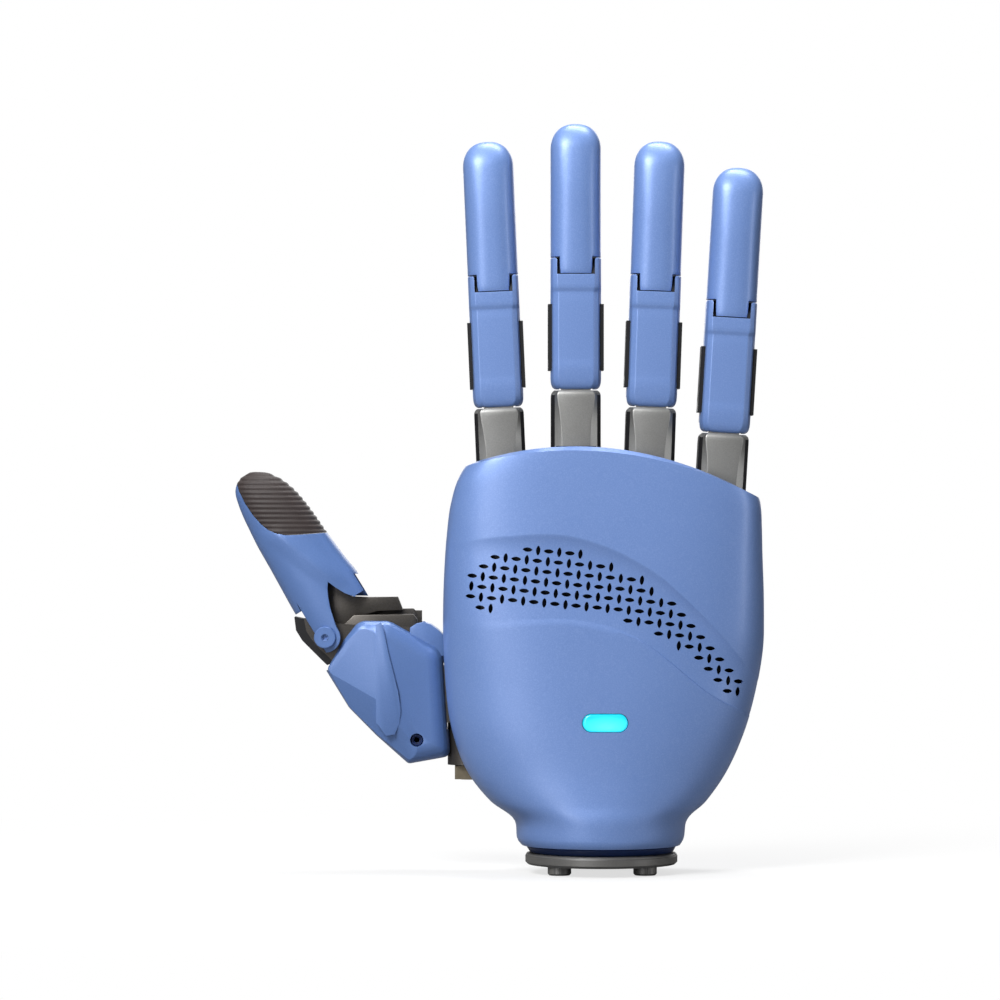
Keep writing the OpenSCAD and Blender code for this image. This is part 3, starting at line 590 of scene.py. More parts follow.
def smooth_at(table, x, column=1):
    """A cubic curve through a table's rows."""
    i = max(k for k in range(len(table) - 1) if table[k][0] <= x or k == 0)
    p = [table[min(max(k, 0), len(table) - 1)] for k in (i - 1, i, i + 1, i + 2)]
    t = min(max((x - p[1][0]) / (p[2][0] - p[1][0]), 0), 1)

    def slope(a, b):
        return (b[column] - a[column]) / (b[0] - a[0]) if b[0] != a[0] else 0.0
    span = p[2][0] - p[1][0]
    m1, m2 = (slope(p[0], p[2]) * span, slope(p[1], p[3]) * span)
    return ((2 * t ** 3 - 3 * t * t + 1) * p[1][column] + (t ** 3 - 2 * t * t + t) * m1
            + (3 * t * t - 2 * t ** 3) * p[2][column] + (t ** 3 - t * t) * m2)


def band_row(turn, column):
    """Where one column of the grid crosses the band's upper (1) or lower (2) edge."""
    s = REACH * 0.6
    for _ in range(7):
        x = housing_point(turn, s, BACK).x
        s = at_height(turn, BACK, smooth_at(BAND, x, column))
    return s


def band_sink(x, below, share):
    """Depth of the hollow: mm below the upper edge, and its share of the band's height."""
    depth = smooth_at(BAND_DEPTH, x)
    fall = 1 - (1 - min(below / smooth_at(BAND_DEPTH, x, 2), 1)) ** 2
    rest = smooth_at(LOWER_STEP, x)
    return depth * fall * (1 - share * (1 - rest))


print("band crosses the middle at", round(smooth_at(BAND, 0), 1), "mm")

# %% [markdown]
# ## The back cover
#
# The cover starts as a flat grid. Each of its points is moved to its place on the housing, the band
# is pressed in, and a chamfer breaks the top edge, where the light draws a bright line. Solidify
# then turns the surface into a moulded wall. The slots and the light opening are cut with a Boolean,
# so they really go through the wall and show its thickness.

# %% Back cover surface
COLUMNS = 210
TOP_CHAMFER, RIM, RIM_STEPS = 1.5, 1.6, (0.35, 1.0)
HOUSING_FOOT, SEAM = 5.7, 0.3
LOW_ROWS, BAND_ROWS, HIGH_ROWS = 50, 34, 34


def back_rows(turn):
    """Distances along the housing for one column, as (s, depth below the band's edge, share)."""
    low, high = band_row(turn, 2), band_row(turn, 1)
    end, foot = REACH - RIM, at_height(turn, BACK, HOUSING_FOOT)
    rows = [(foot + (low - 0.5 - foot) * i / (LOW_ROWS - 1), None, 0) for i in range(LOW_ROWS)]
    rows += [(low + (high - low) * i / BAND_ROWS, (high - low) * (1 - i / BAND_ROWS),
              1 - i / BAND_ROWS) for i in range(BAND_ROWS + 1)]
    rows += [(high + 0.15 + (end - high - 0.15) * i / (HIGH_ROWS - 1), None, 0)
             for i in range(HIGH_ROWS)]
    return rows


def wall_from(bm, side, thickness):
    """Turns a surface outwards and gives it a wall on its inside."""
    bmesh.ops.recalc_face_normals(bm, faces=bm.faces)
    front = max(bm.faces, key=lambda face: side * face.calc_center_median().y)
    if side * front.normal.y < 0:
        bmesh.ops.reverse_faces(bm, faces=bm.faces)
    bmesh.ops.solidify(bm, geom=bm.faces[:], thickness=thickness * MM)


bm = bmesh.new()
row_count = LOW_ROWS + BAND_ROWS + 1 + HIGH_ROWS + len(RIM_STEPS)
made = bmesh.ops.create_grid(bm, x_segments=COLUMNS, y_segments=row_count - 1, size=1.0)
grid = {}
for vert in made["verts"]:
    grid[(round((vert.co.x + 1) / 2 * COLUMNS), round((vert.co.y + 1) / 2 * (row_count - 1)))] = vert
for i in range(COLUMNS + 1):
    turn = math.pi * i / COLUMNS
    seam = SEAM if i in (0, COLUMNS) else 0.0
    for j, (s, below, share) in enumerate(back_rows(turn)):
        x = housing_point(turn, s, BACK).x
        sunk = band_sink(x, below, share) if below is not None else 0.0
        grid[(i, j)].co = housing_point(turn, s, BACK, seam, sunk) * MM
    for k, drop in enumerate(RIM_STEPS):
        s = REACH - RIM + RIM * drop
        grid[(i, row_count - 2 + k)].co = housing_point(turn, s, BACK, TOP_CHAMFER * drop) * MM
print("back cover grid:", len(bm.verts), "points")

# %% [markdown]
# The wall is given its thickness by Solidify on the whole grid, so that both skins share their rims.
# The vents are 122 leaf-shaped slots in a basket weave: each row is a pitch below the last, and the
# slots lie and stand in turn. Each one starts as a circle, is stretched to a leaf, pushed through
# the wall and turned in its place.

# %% Wall, vents and light opening
WALL = 2.0
wall_from(bm, BACK, WALL)
back_cover = piece("back_cover", bm, blue, "palm", ["dorsal_cover"], 30, 0)

VENT_ROWS = [(0, 0, 5), (1, -3, 8), (2, -4, 11), (3, -5, 12), (4, -5, 14), (5, -5, 15),
             (6, -4, -3), (6, 10, 16), (7, 13, 17), (8, 15, 18), (9, 17, 19), (10, 18, 20),
             (11, 19, 21), (12, 20, 21)]
SLOT_ACROSS, SLOT_DOWN, SLOT_LENGTH, SLOT_WIDTH = 3.14, 3.06, 2.9, 1.3


def slot_cutter(bm, place, length, width, near, far, steps, leaf=False):
    """A slot through the wall: a circle, stretched into a stadium or a pointed leaf, extruded."""
    ring = bmesh.ops.create_circle(bm, cap_ends=True, segments=steps, radius=width / 2 * MM,
                                   matrix=Matrix.Rotation(math.pi / 2, 4, "X"))["verts"]
    for vert in ring:
        if leaf:
            vert.co.x *= length / width
            vert.co.z *= abs(vert.co.z * 2 / width / MM) ** 0.35
        elif abs(vert.co.x) > 1e-7:
            vert.co.x += math.copysign((length - width) / 2 * MM, vert.co.x)
        vert.co.y = near * MM
    face = next(f for f in ring[0].link_faces if len(f.verts) == steps)
    moved = bmesh.ops.extrude_face_region(bm, geom=[face])["geom"]
    new = [v for v in moved if isinstance(v, bmesh.types.BMVert)]
    bmesh.ops.translate(bm, verts=new, vec=(0, (far - near) * MM, 0))
    bmesh.ops.transform(bm, matrix=place, verts=ring + new)


SLOT_NEAR, SLOT_FAR = -26, -8
cut_bm = bmesh.new()
count = 0
field = (Matrix.Translation(Vector((-22.2, 0, 94.3)) * MM)
         @ Matrix.Rotation(math.radians(5), 4, "Y"))
for row, first, last in VENT_ROWS:
    for column in range(first, last + 1):
        place = field @ Matrix.Translation(Vector((column * SLOT_ACROSS, 0, -row * SLOT_DOWN)) * MM)
        if (row + column) % 2:
            place = place @ Matrix.Rotation(math.pi / 2, 4, "Y")
        slot_cutter(cut_bm, place, SLOT_LENGTH, SLOT_WIDTH, SLOT_NEAR, SLOT_FAR, 16, True)
        count += 1
LIGHT_X, LIGHT_Z, LIGHT_W, LIGHT_H = 0.7, 43.0, 13.5, 5.4
LIGHT_GAP = 0.3
slot_cutter(cut_bm, Matrix.Translation(Vector((LIGHT_X, 0, LIGHT_Z)) * MM), LIGHT_W + LIGHT_GAP,
            LIGHT_H + LIGHT_GAP, SLOT_NEAR, SLOT_FAR, 48)
cut_with(back_cover, [cutter(cut_bm)])
crease_by_angle(back_cover, 30)
print("slots cut:", count, "faces:", len(back_cover.data.polygons))

# %% [markdown]
# ## The dark sheet behind the vents
#
# Behind the vents a black sheet paints the shade inside the housing, so the slots read black. A
# second, coarser grid on the same surface, set in behind the wall, follows the band without
# touching it, which a flat plate couldn't do.

# %% Black sheet behind the vents, which paints the shade inside
MAT_COLUMNS, MAT_ROWS, MAT_GAP, MAT_THICK = 48, 14, 1.0, 0.5
bm = bmesh.new()
made = bmesh.ops.create_grid(bm, x_segments=MAT_COLUMNS, y_segments=MAT_ROWS, size=1.0)
for vert in made["verts"]:
    i, j = (vert.co.x + 1) / 2, (vert.co.y + 1) / 2
    turn = math.pi * (0.09 + 0.82 * i)
    low, high = band_row(turn, 2) - 2, band_row(turn, 1) + 2
    s = low + (high - low) * j
    x = housing_point(turn, s, BACK).x
    vert.co = housing_point(turn, s, BACK, WALL + MAT_GAP, smooth_at(BAND_DEPTH, x)) * MM
bmesh.ops.solidify(bm, geom=bm.faces[:], thickness=MAT_THICK * MM)
piece("vent_shade_sheet", bm, black_plastic, "palm", [], 60, 0)
print("dust mat made")

# %% [markdown]
# ## The palm cover
#
# The other half is the same kind of surface without the band. Its left side is open, because the
# thumb's upright shaft stands in a bay there, and four recessed screws hold it to the frame. The bay
# is cut with a box whose edges are rounded first, so the opening has moulded corners, and it starts
# just past the seam, so a thin lip of the cover runs on beside it.

# %% Palm cover
bm = bmesh.new()
palm_rows = 96
made = bmesh.ops.create_grid(bm, x_segments=150, y_segments=palm_rows - 1, size=1.0)
for vert in made["verts"]:
    i, j = (vert.co.x + 1) / 2, round((vert.co.y + 1) / 2 * (palm_rows - 1))
    turn, seam = math.pi * i, SEAM if i < 0.001 or i > 0.999 else 0.0
    if j >= palm_rows - 2:
        drop = RIM_STEPS[j - palm_rows + 2]
        point = housing_point(turn, REACH - RIM + RIM * drop, PALM, TOP_CHAMFER * drop)
    else:
        foot = at_height(turn, PALM, HOUSING_FOOT)
        point = housing_point(turn, foot + (REACH - RIM - foot) * j / (palm_rows - 3), PALM, seam)
    vert.co = point * MM
wall_from(bm, PALM, WALL)
palm_cover = piece("palm_cover", bm, blue, "palm", ["palmar_cover"], 30, 0)

SEAM_LIP = 0.7
BAY = ((-60, SEAM_LIP, 24.5), (-29, 40, 78.5))
SCREWS, SCREW_HOLE = [(-22, 24), (31, 36), (41, 84), (-38.5, 96)], 1.7 * MM
bay_bm = bmesh.new()
box(bay_bm, BAY[0], BAY[1], 1.2, 3)
hole_bm = bmesh.new()
for x, z in SCREWS:
    bmesh.ops.create_cone(hole_bm, cap_ends=True, segments=32, radius1=SCREW_HOLE,
                          radius2=SCREW_HOLE, depth=30 * MM,
                          matrix=Matrix.Translation(Vector((x, PALM_DEPTH, z)) * MM)
                          @ Matrix.Rotation(math.pi / 2, 4, "X"))
cut_with(palm_cover, [cutter(bay_bm), cutter(hole_bm)])
crease_by_angle(palm_cover, 30)
print("palm cover faces:", len(palm_cover.data.polygons))

# %% [markdown]
# ## Sections, lofts and prisms
#
# The fingers are drawn like the real parts are: closed sections stacked along the length. A section
# starts as a circle of points, is moved onto its outline, and neighbours are joined with bridge
# loops, which keeps clean rows of quads. Flat cut-outs come from prisms, an outline pushed through
# along one axis.

# %% Loft and prism
def squircle(cx, half, front, back, n, z, steps):
    """Points of a rounded section: half is its half width, front and back its two depths."""
    out = []
    for i in range(steps):
        c, s = math.cos(2 * math.pi * i / steps), math.sin(2 * math.pi * i / steps)
        r = (abs(c) ** n + abs(s) ** n) ** (-1 / n)
        out.append(Vector((cx + half * c * r, (back if s > 0 else front) * s * r, z)))
    return out


def rounded(corners, steps):
    """Points of an outline with rounded corners; each corner is (x, y, radius)."""
    out = []
    for i, (x, y, radius) in enumerate(corners):
        here = Vector((x, y))
        before = (Vector(corners[i - 1][:2]) - here).normalized()
        after = (Vector(corners[(i + 1) % len(corners)][:2]) - here).normalized()
        half = math.acos(max(-1, min(1, before.dot(after)))) / 2
        reach = radius / math.tan(half)
        mid = here + (before + after).normalized() * radius / math.sin(half)
        a, b = here + before * reach - mid, here + after * reach - mid
        for k in range(steps):
            turned_to = a.lerp(b, k / (steps - 1)).normalized() * radius
            out.append(mid + turned_to)
    return out


def loft(bm, sections):
    """Joins closed sections of equal length into one skin, closed at both ends."""
    loops = []
    for points in sections:
        ring = bmesh.ops.create_circle(bm, segments=len(points), radius=MM)["verts"]
        for vert, point in zip(ring, points):
            vert.co = point * MM
        loops.append(ring)
    for lower, upper in zip(loops, loops[1:]):
        edges = {e for ring in (lower, upper) for v in ring for e in v.link_edges
                 if e.other_vert(v) in ring}
        bmesh.ops.bridge_loops(bm, edges=list(edges))
    bm.faces.new(loops[0])
    bm.faces.new(loops[-1])


def prism(bm, outline, low, high, axis):
    """Pushes a flat outline through from low to high along X, Y or Z."""
    order = {"X": (2, 0, 1), "Y": (0, 2, 1), "Z": (0, 1, 2)}[axis]

    def at(a, b, c):
        flat = (a, b, c)
        return Vector([flat[k] for k in order]) * MM
    base = [bm.verts.new(at(a, b, low)) for a, b in outline]
    face = bm.faces.new(base)
    moved = bmesh.ops.extrude_face_region(bm, geom=[face])["geom"]
    shift = at(0, 0, high - low)
    bmesh.ops.translate(bm, verts=[v for v in moved if isinstance(v, bmesh.types.BMVert)], vec=shift)


def disc(center, radius, start=0.0, end=360.0, steps=40):
    """Points of an arc, for a prism's outline."""
    return [(center[0] + radius * math.cos(math.radians(start + (end - start) * i / steps)),
             center[1] + radius * math.sin(math.radians(start + (end - start) * i / steps)))
            for i in range(steps + (0 if end - start == 360 else 1))]


def soften(made, width, segments=2, angle=30):
    """Rounds the crisp edges of a finished mesh and keeps the result as plain mesh."""
    modifier = made.modifiers.new("edges", "BEVEL")
    modifier.width, modifier.segments = width * MM, segments
    modifier.limit_method, modifier.angle_limit = "ANGLE", math.radians(angle)
    modifier.harden_normals = False
    keep_result(made)


def prism_cutter(outline, low, high, axis):
    bm = bmesh.new()
    prism(bm, outline, low, high, axis)
    return cutter(bm)


def box_cutter(low, high, bevel=0.0, segments=2):
    bm = bmesh.new()
    box(bm, low, high, bevel, segments)
    return cutter(bm)


print("loft and prism ready")

# %% [markdown]
# ## The collar
#
# A dark collar lifts the housing off the flange. The housing isn't quite round at its foot, so the
# collar is lofted from the housing's own lowest sections, drawn in a little, and not spun.

# %% Collar under the housing
def housing_ring(s, inset, z, steps=72):
    back = [housing_point(math.pi * i / steps, s, BACK, inset) for i in range(steps)]
    palm = [housing_point(math.pi * (1 - i / steps), s, PALM, inset) for i in range(steps)]
    return [Vector((p.x, p.y, z)) for p in back + palm]


collar_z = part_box("wrist_collar")[0][2] / MM
bm = bmesh.new()
loft(bm, [housing_ring(0, 1.9, collar_z), housing_ring(0, 1.0, collar_z + 0.5),
          housing_ring(0.9, 0.7, HOUSING_FOOT - 0.4), housing_ring(0.9, 1.1, HOUSING_FOOT + 0.5)])
piece("collar", bm, navy_plastic, "palm", ["wrist_collar"])
print("collar from", round(collar_z, 1), "to", HOUSING_FOOT, "mm")

# %% [markdown]
# ## One finger, made once
#
# All four fingers are the same parts at different places, so each part is modelled once in the
# finger's own frame, with zero at the lower end of the blue link, and then copied to every finger
# and turned by that finger's lean.

# %% Sizes of a finger
HALF_W, HALF_D = 7.55, 7.4
LINK, TIP, GAP = 39.3, 40.0, 0.4
BASE_PIN, TIP_PIN = 7.5, 32.8
TAB_W, TAB_L = 10.8, 5.0
THROUGH = 12
FINGERS = {"index": (-30.8, 136.8, -2.5), "middle": (-7.7, 142.1, 0.0),
           "ring": (14.9, 136.9, 2.0), "little": (36.7, 129.1, 3.4)}


def finger_place(name):
    x, z, lean = FINGERS[name]
    return (Matrix.Translation(Vector((x, 0, z)) * MM)
            @ Matrix.Rotation(math.radians(lean), 4, "Y"))


def on_fingers(master, part, node, body, material):
    """Copies a finished part to all four fingers."""
    for name in FINGERS:
        bm = bmesh.new()
        bm.from_mesh(master.data)
        bmesh.ops.transform(bm, matrix=finger_place(name), verts=bm.verts)
        mesh = bpy.data.meshes.new(f"{name}_{part}")
        bm.to_mesh(mesh)
        bm.free()
        for used in ([material] if not isinstance(material, (list, tuple)) else material):
            mesh.materials.append(used)
        made = bpy.data.objects.new(f"{name}_{part}", mesh)
        scene.collection.objects.link(made)
        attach(made, name + body if body else "palm")
        if node:
            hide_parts(f"{name}_{node}")
    throw_away(master)


print("fingers at", {name: place[:2] for name, place in FINGERS.items()})

# %% [markdown]
# ## Fingertip shell
#
# The shell is a long rounded cap. At its lower end a flat tab reaches down over the joint and fills
# the notch of the link, with a fine dark line all round it. The palm side is left open for the
# rubber pad. The cap is a loft of round sections, and three prisms cut the shoulders beside the tab,
# the room behind it and the seat of the pad.

# %% Fingertip shell
FOOT = LINK + GAP


def slim(z):
    """How the back of the tip curves in towards its end."""
    t = max(0.0, (z - FOOT - TIP * 0.42) / (TIP * 0.58))
    return 1 - 0.36 * t ** 2


def tip_sections(half, depth, start, steps):
    sections = []
    dome = FOOT + TIP - HALF_W
    heights = [start + (dome - start) * i / 24 for i in range(24)]
    for z in heights:
        n = 2.75 - 0.35 * max(0.0, (z - FOOT) / TIP)
        draw = 0.12 * max(0.0, 1 - (z - start) / 3) ** 2
        sections.append(squircle(0, half - draw, depth * slim(z) - draw, depth - draw, n, z, steps))
    for i in range(13):
        a = math.radians(88 * i / 12)
        z = dome + half * math.sin(a)
        c = math.cos(a) ** 0.82
        sections.append(squircle(0, half * c, depth * slim(z) * c ** 1.15, depth * c,
                                 2.4 - 0.25 * i / 12, z, steps))
    return sections


def pad_outline(room):
    """The pad's outline seen from the side, as (y, z)."""
    top = [(HALF_D + 3, FOOT + 9 + room), (HALF_D - 1, FOOT + 9 + room)]
    bow = [(HALF_D - 1 - (HALF_D - 3 - room) * math.sin(math.radians(a)),
            FOOT + 9 + room + 11 * (1 - math.cos(math.radians(a)))) for a in range(10, 91, 8)]
    return top + bow + [(1 + room, FOOT + TIP - 4), (-0.4 + room, FOOT + TIP + 2),
                        (HALF_D + 3, FOOT + TIP + 2)]


bm = bmesh.new()
loft(bm, tip_sections(HALF_W, HALF_D, FOOT - TAB_L, 64))
shell = cutter(bm)
bm = bmesh.new()
for side in (-1, 1):
    low, high = sorted((side * TAB_W / 2, side * THROUGH))
    prism(bm, [(low, FOOT - 8), (high, FOOT - 8), (high, FOOT), (low, FOOT)], -THROUGH, THROUGH, "Y")
cut_with(shell, [
    cutter(bm),
    prism_cutter([(-6.5, FOOT - 8), (12, FOOT - 8), (12, FOOT), (-6.5, FOOT)], -5.6, 5.6, "X"),
    prism_cutter(pad_outline(0), -THROUGH, THROUGH, "X"),
    box_cutter((-5, -4.6, FOOT - 1), (5, 1.5, FOOT + 20))])
soften(shell, 0.22, 2, 40)
crease_by_angle(shell, 38)
on_fingers(shell, "tip_cap", "tip_shell", "_tip", blue)
print("fingertip shells made")

# %% [markdown]
# ## Grip pad of the fingertip
#
# The pad is moulded silicone with fine cross ribs, which let water and dust escape from under the
# fingertip. The ribs follow the length, so the loft's own width swells and shrinks in a soft wave,
# and the pad is then trimmed to the same outline that was cut out of the shell.

# %% Fingertip pad
def rib_wave(z, pitch=1.9, height=0.32):
    return height * (0.5 + 0.5 * math.cos(2 * math.pi * (z - FOOT) / pitch)) ** 0.7 - 0.12


PAD_GAP = 0.08
bm = bmesh.new()
sections = []
first, last = FOOT + 8.4, FOOT + TIP - HALF_W
for i in range(97):
    z = first + (last - first) * i / 96
    g = rib_wave(z)
    n = 2.75 - 0.35 * max(0.0, (z - FOOT) / TIP)
    sections.append(squircle(0, HALF_W - 0.2 + g, HALF_D - 0.2, HALF_D + g, n, z, 56))
for i in range(1, 25):
    a = math.radians(86 * i / 24)
    z = last + (HALF_W - 0.25) * math.sin(a)
    g, c = rib_wave(z), math.cos(a) ** 0.94
    sections.append(squircle(0, (HALF_W - 0.2 + g) * c, (HALF_D - 0.2) * c, (HALF_D + g) * c,
                             2.35, z, 56))
loft(bm, sections)
pad = cutter(bm)
keep_common(pad, prism_cutter(pad_outline(PAD_GAP), -THROUGH, THROUGH, "X"))
crease_by_angle(pad, 50)
on_fingers(pad, "tip_grip", "tip_pad", "_tip", rubber)
print("fingertip pads made")

# %% [markdown]
# ## Link cover
#
# The inner link wears a blue cover with a flat front and chamfered flanks, so a narrow highlight
# runs down each side. Near the top the section swells, which leaves a soft crease under the tab,
# and at the foot it rounds over the knuckle. Windows at both sides let the dark frame stand out.

# %% Link cover
def link_section(z, inset, front, k):
    """The outline at one height; k scales the chamfers of the front."""
    half = HALF_W - inset
    flank = [(-half, -front + 3.6 * k, 1.2 * k), (-half + 0.75 * k, -front + 1.15 * k, 0.9 * k),
             (-half + 2.3 * k, -front, 0.8 * k)]
    return [Vector((x, y, z)) for x, y in rounded(
        [(-half, HALF_D - inset, 0.6)] + flank + [(-x, y, r) for x, y, r in reversed(flank)]
        + [(half, HALF_D - inset, 0.6)], 6)]


bm = bmesh.new()
rows = [(0.0, 1.5, -1.7, 1.1), (0.2, 1.0, -1.2, 1.1), (0.6, 0.55, -0.85, 1.1),
        (1.2, 0.25, -0.55, 1.1), (2.1, 0.06, -0.3, 1.05), (3.4, 0.0, -0.12, 1),
        (5.5, 0.0, 0.02, 1), (7.4, 0.0, 0.06, 1), (8.4, 0.0, -0.06, 1), (9.4, 0.0, -0.08, 1),
        (16.0, 0.0, -0.06, 1), (26.0, 0.0, -0.06, 1), (27.9, 0.0, -0.1, 1),
        (28.9, 0.0, -0.22, 1), (29.4, 0.0, -0.16, 0.97), (29.9, 0.0, 0.08, 0.9),
        (30.5, 0.0, 0.2, 0.86), (31.6, 0.0, 0.22, 0.84), (34.0, 0.0, 0.14, 0.84),
        (LINK - 0.3, 0.02, 0.05, 0.84), (LINK, 0.2, -0.15, 0.84)]
loft(bm, [link_section(z, inset, HALF_D + proud, k) for z, inset, proud, k in rows])
cover = cutter(bm)
SEAT_X, SEAT_F, LIP_Z = HALF_W - 0.8, HALF_D - 1.2, 3.3
NOTCH = TAB_W / 2 + 0.26
flare = [(NOTCH + 0.8 - 0.8 * math.cos(math.radians(a)),
          LINK - 0.75 + 0.8 * math.sin(math.radians(a))) for a in range(0, 91, 15)]
side = [(NOTCH, LINK - TAB_L + 0.08)] + flare + [(NOTCH + 0.8, LINK + 4)]
cut_with(cover, [
    prism_cutter([(-SEAT_X, 12), (-SEAT_X, -SEAT_F + 2.2), (-SEAT_X + 1.95, -SEAT_F),
                  (SEAT_X - 1.95, -SEAT_F), (SEAT_X, -SEAT_F + 2.2), (SEAT_X, 12)], LIP_Z, 60, "Z"),
    box_cutter((-5.0, -HALF_D + 2.05, -1), (5.0, 14, LIP_Z + 0.01)),
    box_cutter((-THROUGH, -1.5, -1), (THROUGH, 14, LIP_Z - 0.5)),
    box_cutter((-20, 3.4, -2), (20, 20, 60)),
    box_cutter((-THROUGH, -5, 5.7), (THROUGH, 5, 25.5), 0.5),
    prism_cutter([(0, TIP_PIN), (14, TIP_PIN), (14, 60), (0, 60)]
                 + disc((0, TIP_PIN), 6.4, 90, 0, 20)[:-1], -THROUGH, THROUGH, "X"),
    prism_cutter([(0, -3), (14, -3), (14, BASE_PIN)] + disc((0, BASE_PIN), 7.3, 0, -90, 20),
                 -THROUGH, THROUGH, "X"),
    prism_cutter(side + [(-x, z) for x, z in reversed(side)], -THROUGH, 0.5, "Y")])
soften(cover, 0.16, 2, 42)
crease_by_angle(cover, 36)
on_fingers(cover, "link_skin", "link_cover", "_link", blue)
print("link covers made")

# %% Dark liner behind the joint line
bm = bmesh.new()
for sign in (-1, 1):
    low, high = sorted((sign * 4.8, sign * 6.7))
    prism(bm, disc((0, TIP_PIN), 6.7, 40, 320, 48), low, high, "X")
liner = cutter(bm)
on_fingers(liner, "hinge_liner", None, "_link", black_plastic)
print("joint liners made")

# %% [markdown]
# ## Knuckle
#
# The knuckle is a milled block that stands fixed in the housing. Its front carries a raised panel
# with wide chamfers, rounded at the top, and its two cheeks are black. The panel is part of the
# lofted outline, which is simpler than pulling it out of a finished block, and the last rows draw
# in to round the top. The cheeks take their own material by face.

# %% Knuckle
KNUCKLE = 24.0
depth, top = HALF_D - 0.3, -GAP + 0.05
half = HALF_W - 0.12
bm = bmesh.new()


def knuckle_section(z, inset, panel):
    w, d = half - inset, depth - inset * 0.6
    return [Vector((x, y, z)) for x, y in rounded(
        [(-w, d, 0.7), (-w, -d + 2.4, 0.3), (-w + 1.1, -d + 1.2, 0.3),
         (-w + panel, -d, 0.5), (w - panel, -d, 0.5), (w - 1.1, -d + 1.2, 0.3),
         (w, -d + 2.4, 0.3), (w, d, 0.7)], 4)]


rows = [(-KNUCKLE, 0, 3.3), (-14, 0, 3.2), (-9.5, 0, 2.9), (-6.5, 0, 2.5), (-4.2, 0, 2.1),
        (-2.6, 0, 1.85), (-1.7, 0.03, 1.8), (-1.2, 0.16, 1.75), (-0.8, 0.4, 1.7), (top, 0.9, 1.7)]
loft(bm, [knuckle_section(*row) for row in rows])
block = cutter(bm)
bm = bmesh.new()
bm.from_mesh(block.data)
for face in bm.faces:
    mid, out = face.calc_center_median() / MM, face.normal
    face.material_index = 1 if abs(mid.x) > half - 0.6 and out.y < 0.5 and mid.z < -1.0 else 0
bm.to_mesh(block.data)
bm.free()
block.data.materials.append(knuckle_grey)
block.data.materials.append(black_plastic)
TONGUE = 4.4
join_with(block, prism_cutter(disc((0, BASE_PIN), 6.2, -20, 200, 40)
                              + [(-depth + 2.2, -KNUCKLE + 4), (depth - 2.2, -KNUCKLE + 4)],
                              -TONGUE, TONGUE, "X"))
cut_with(block, [prism_cutter(disc((0, BASE_PIN), 1.75, 0, 360, 32), -THROUGH, THROUGH, "X")])
crease_by_angle(block, 24)
on_fingers(block, "knuckle_block", "knuckle", "", [knuckle_grey, black_plastic])
print("knuckles made")

# %% [markdown]
# ## Thumb base covers
#
# The thumb's base is a faceted blue shell in two halves round a metal frame. Its front reads like a
# cut stone: chamfered flanks run to the outline, the left third leans away, and a raised ridge runs
# down from the top and sinks into the face. Each form is a flat cut or a flat addition, so Booleans
# on a lofted block give the crisp creases that sculpting would smear, and a bevel softens them.

# %% Outline of the thumb's base
THUMB_Y, THUMB_T, ROOM = 9.2, 16.0, 5.02
PIVOT = (-83.0, 67.7)
META = [(-78, 67), (-73.1, 73.2), (-63.5, 73.2), (-47.2, 64.2), (-45.2, 31.8), (-58, 29.5),
        (-67.7, 38.1), (-75.9, 46.4), (-83.1, 58.1)]
CORNERS = [1.2, 4.5, 6.0, 5.0, 2.4, 1.6, 5.0, 6.0, 1.8]


def shrink(points, amount):
    """Moves an outline inwards by an even amount."""
    out = []
    for i, here in enumerate(points):
        normals = []
        for a, b in ((points[i - 1], here), (here, points[(i + 1) % len(points)])):
            edge = (Vector(b) - Vector(a)).normalized()
            normals.append(Vector((edge.y, -edge.x)))
        mid = (normals[0] + normals[1]).normalized()
        out.append(Vector(here) + mid * amount / max(0.3, mid.dot(normals[0])))
    return out


def base_outline(inset):
    corners = shrink(META, inset)
    return rounded([(p.x, p.y, max(0.4, r - inset * 0.4)) for p, r in zip(corners, CORNERS)], 9)


print("outline points:", len(base_outline(0)))

# %% Front and back cover of the base
def base_cover(side):
    """The solid of one cover; side is -1 at the front and 1 at the back."""
    bm = bmesh.new()
    levels = [(0.06, 0.3), (0.3, 0.0), (2.4, 0.0), (3.6, 0.12), (4.8, 0.45), (5.8, 1.0), (6.6, 1.75),
              (7.25, 2.7), (7.7, 3.7), (7.92, 4.6), (8.0, 5.4)]
    loft(bm, [[Vector((x, side * y, z)) for x, z in base_outline(inset)] for y, inset in levels])
    return cutter(bm)


def base_rooms():
    """Cutters for the room of the frame's cheeks, the arm and the column."""
    return [prism_cutter([(-90, 62), (-80, 56), (-72, 48.5), (-64, 41), (-57.5, 35.5),
                          (-51.5, 36.5), (-52.6, 90), (-90, 90)], -ROOM, ROOM, "Y"),
            box_cutter((-60, -ROOM, 40), (-40, ROOM, 60)),
            prism_cutter(disc((-40, 0), 6.3, 0, 360, 48), 20, 80, "Z")]


def facet_cutter(width, corner, about_y, about_z):
    """A block whose back face, turned about Y and then about Z, cuts one facet."""
    bm = bmesh.new()
    box(bm, (-width, -6, -40), (0, 0, 40))
    place = (Matrix.Translation(Vector(corner) * MM)
             @ Matrix.Rotation(math.radians(about_y), 4, "Y")
             @ Matrix.Rotation(math.radians(about_z), 4, "Z"))
    bmesh.ops.transform(bm, matrix=place, verts=bm.verts)
    return cutter(bm)


def settle(made, name, material, body, nodes, place, crease):
    bm = bmesh.new()
    bm.from_mesh(made.data)
    bmesh.ops.transform(bm, matrix=place, verts=bm.verts)
    throw_away(made)
    return piece(name, bm, material, body, nodes, crease, 0)


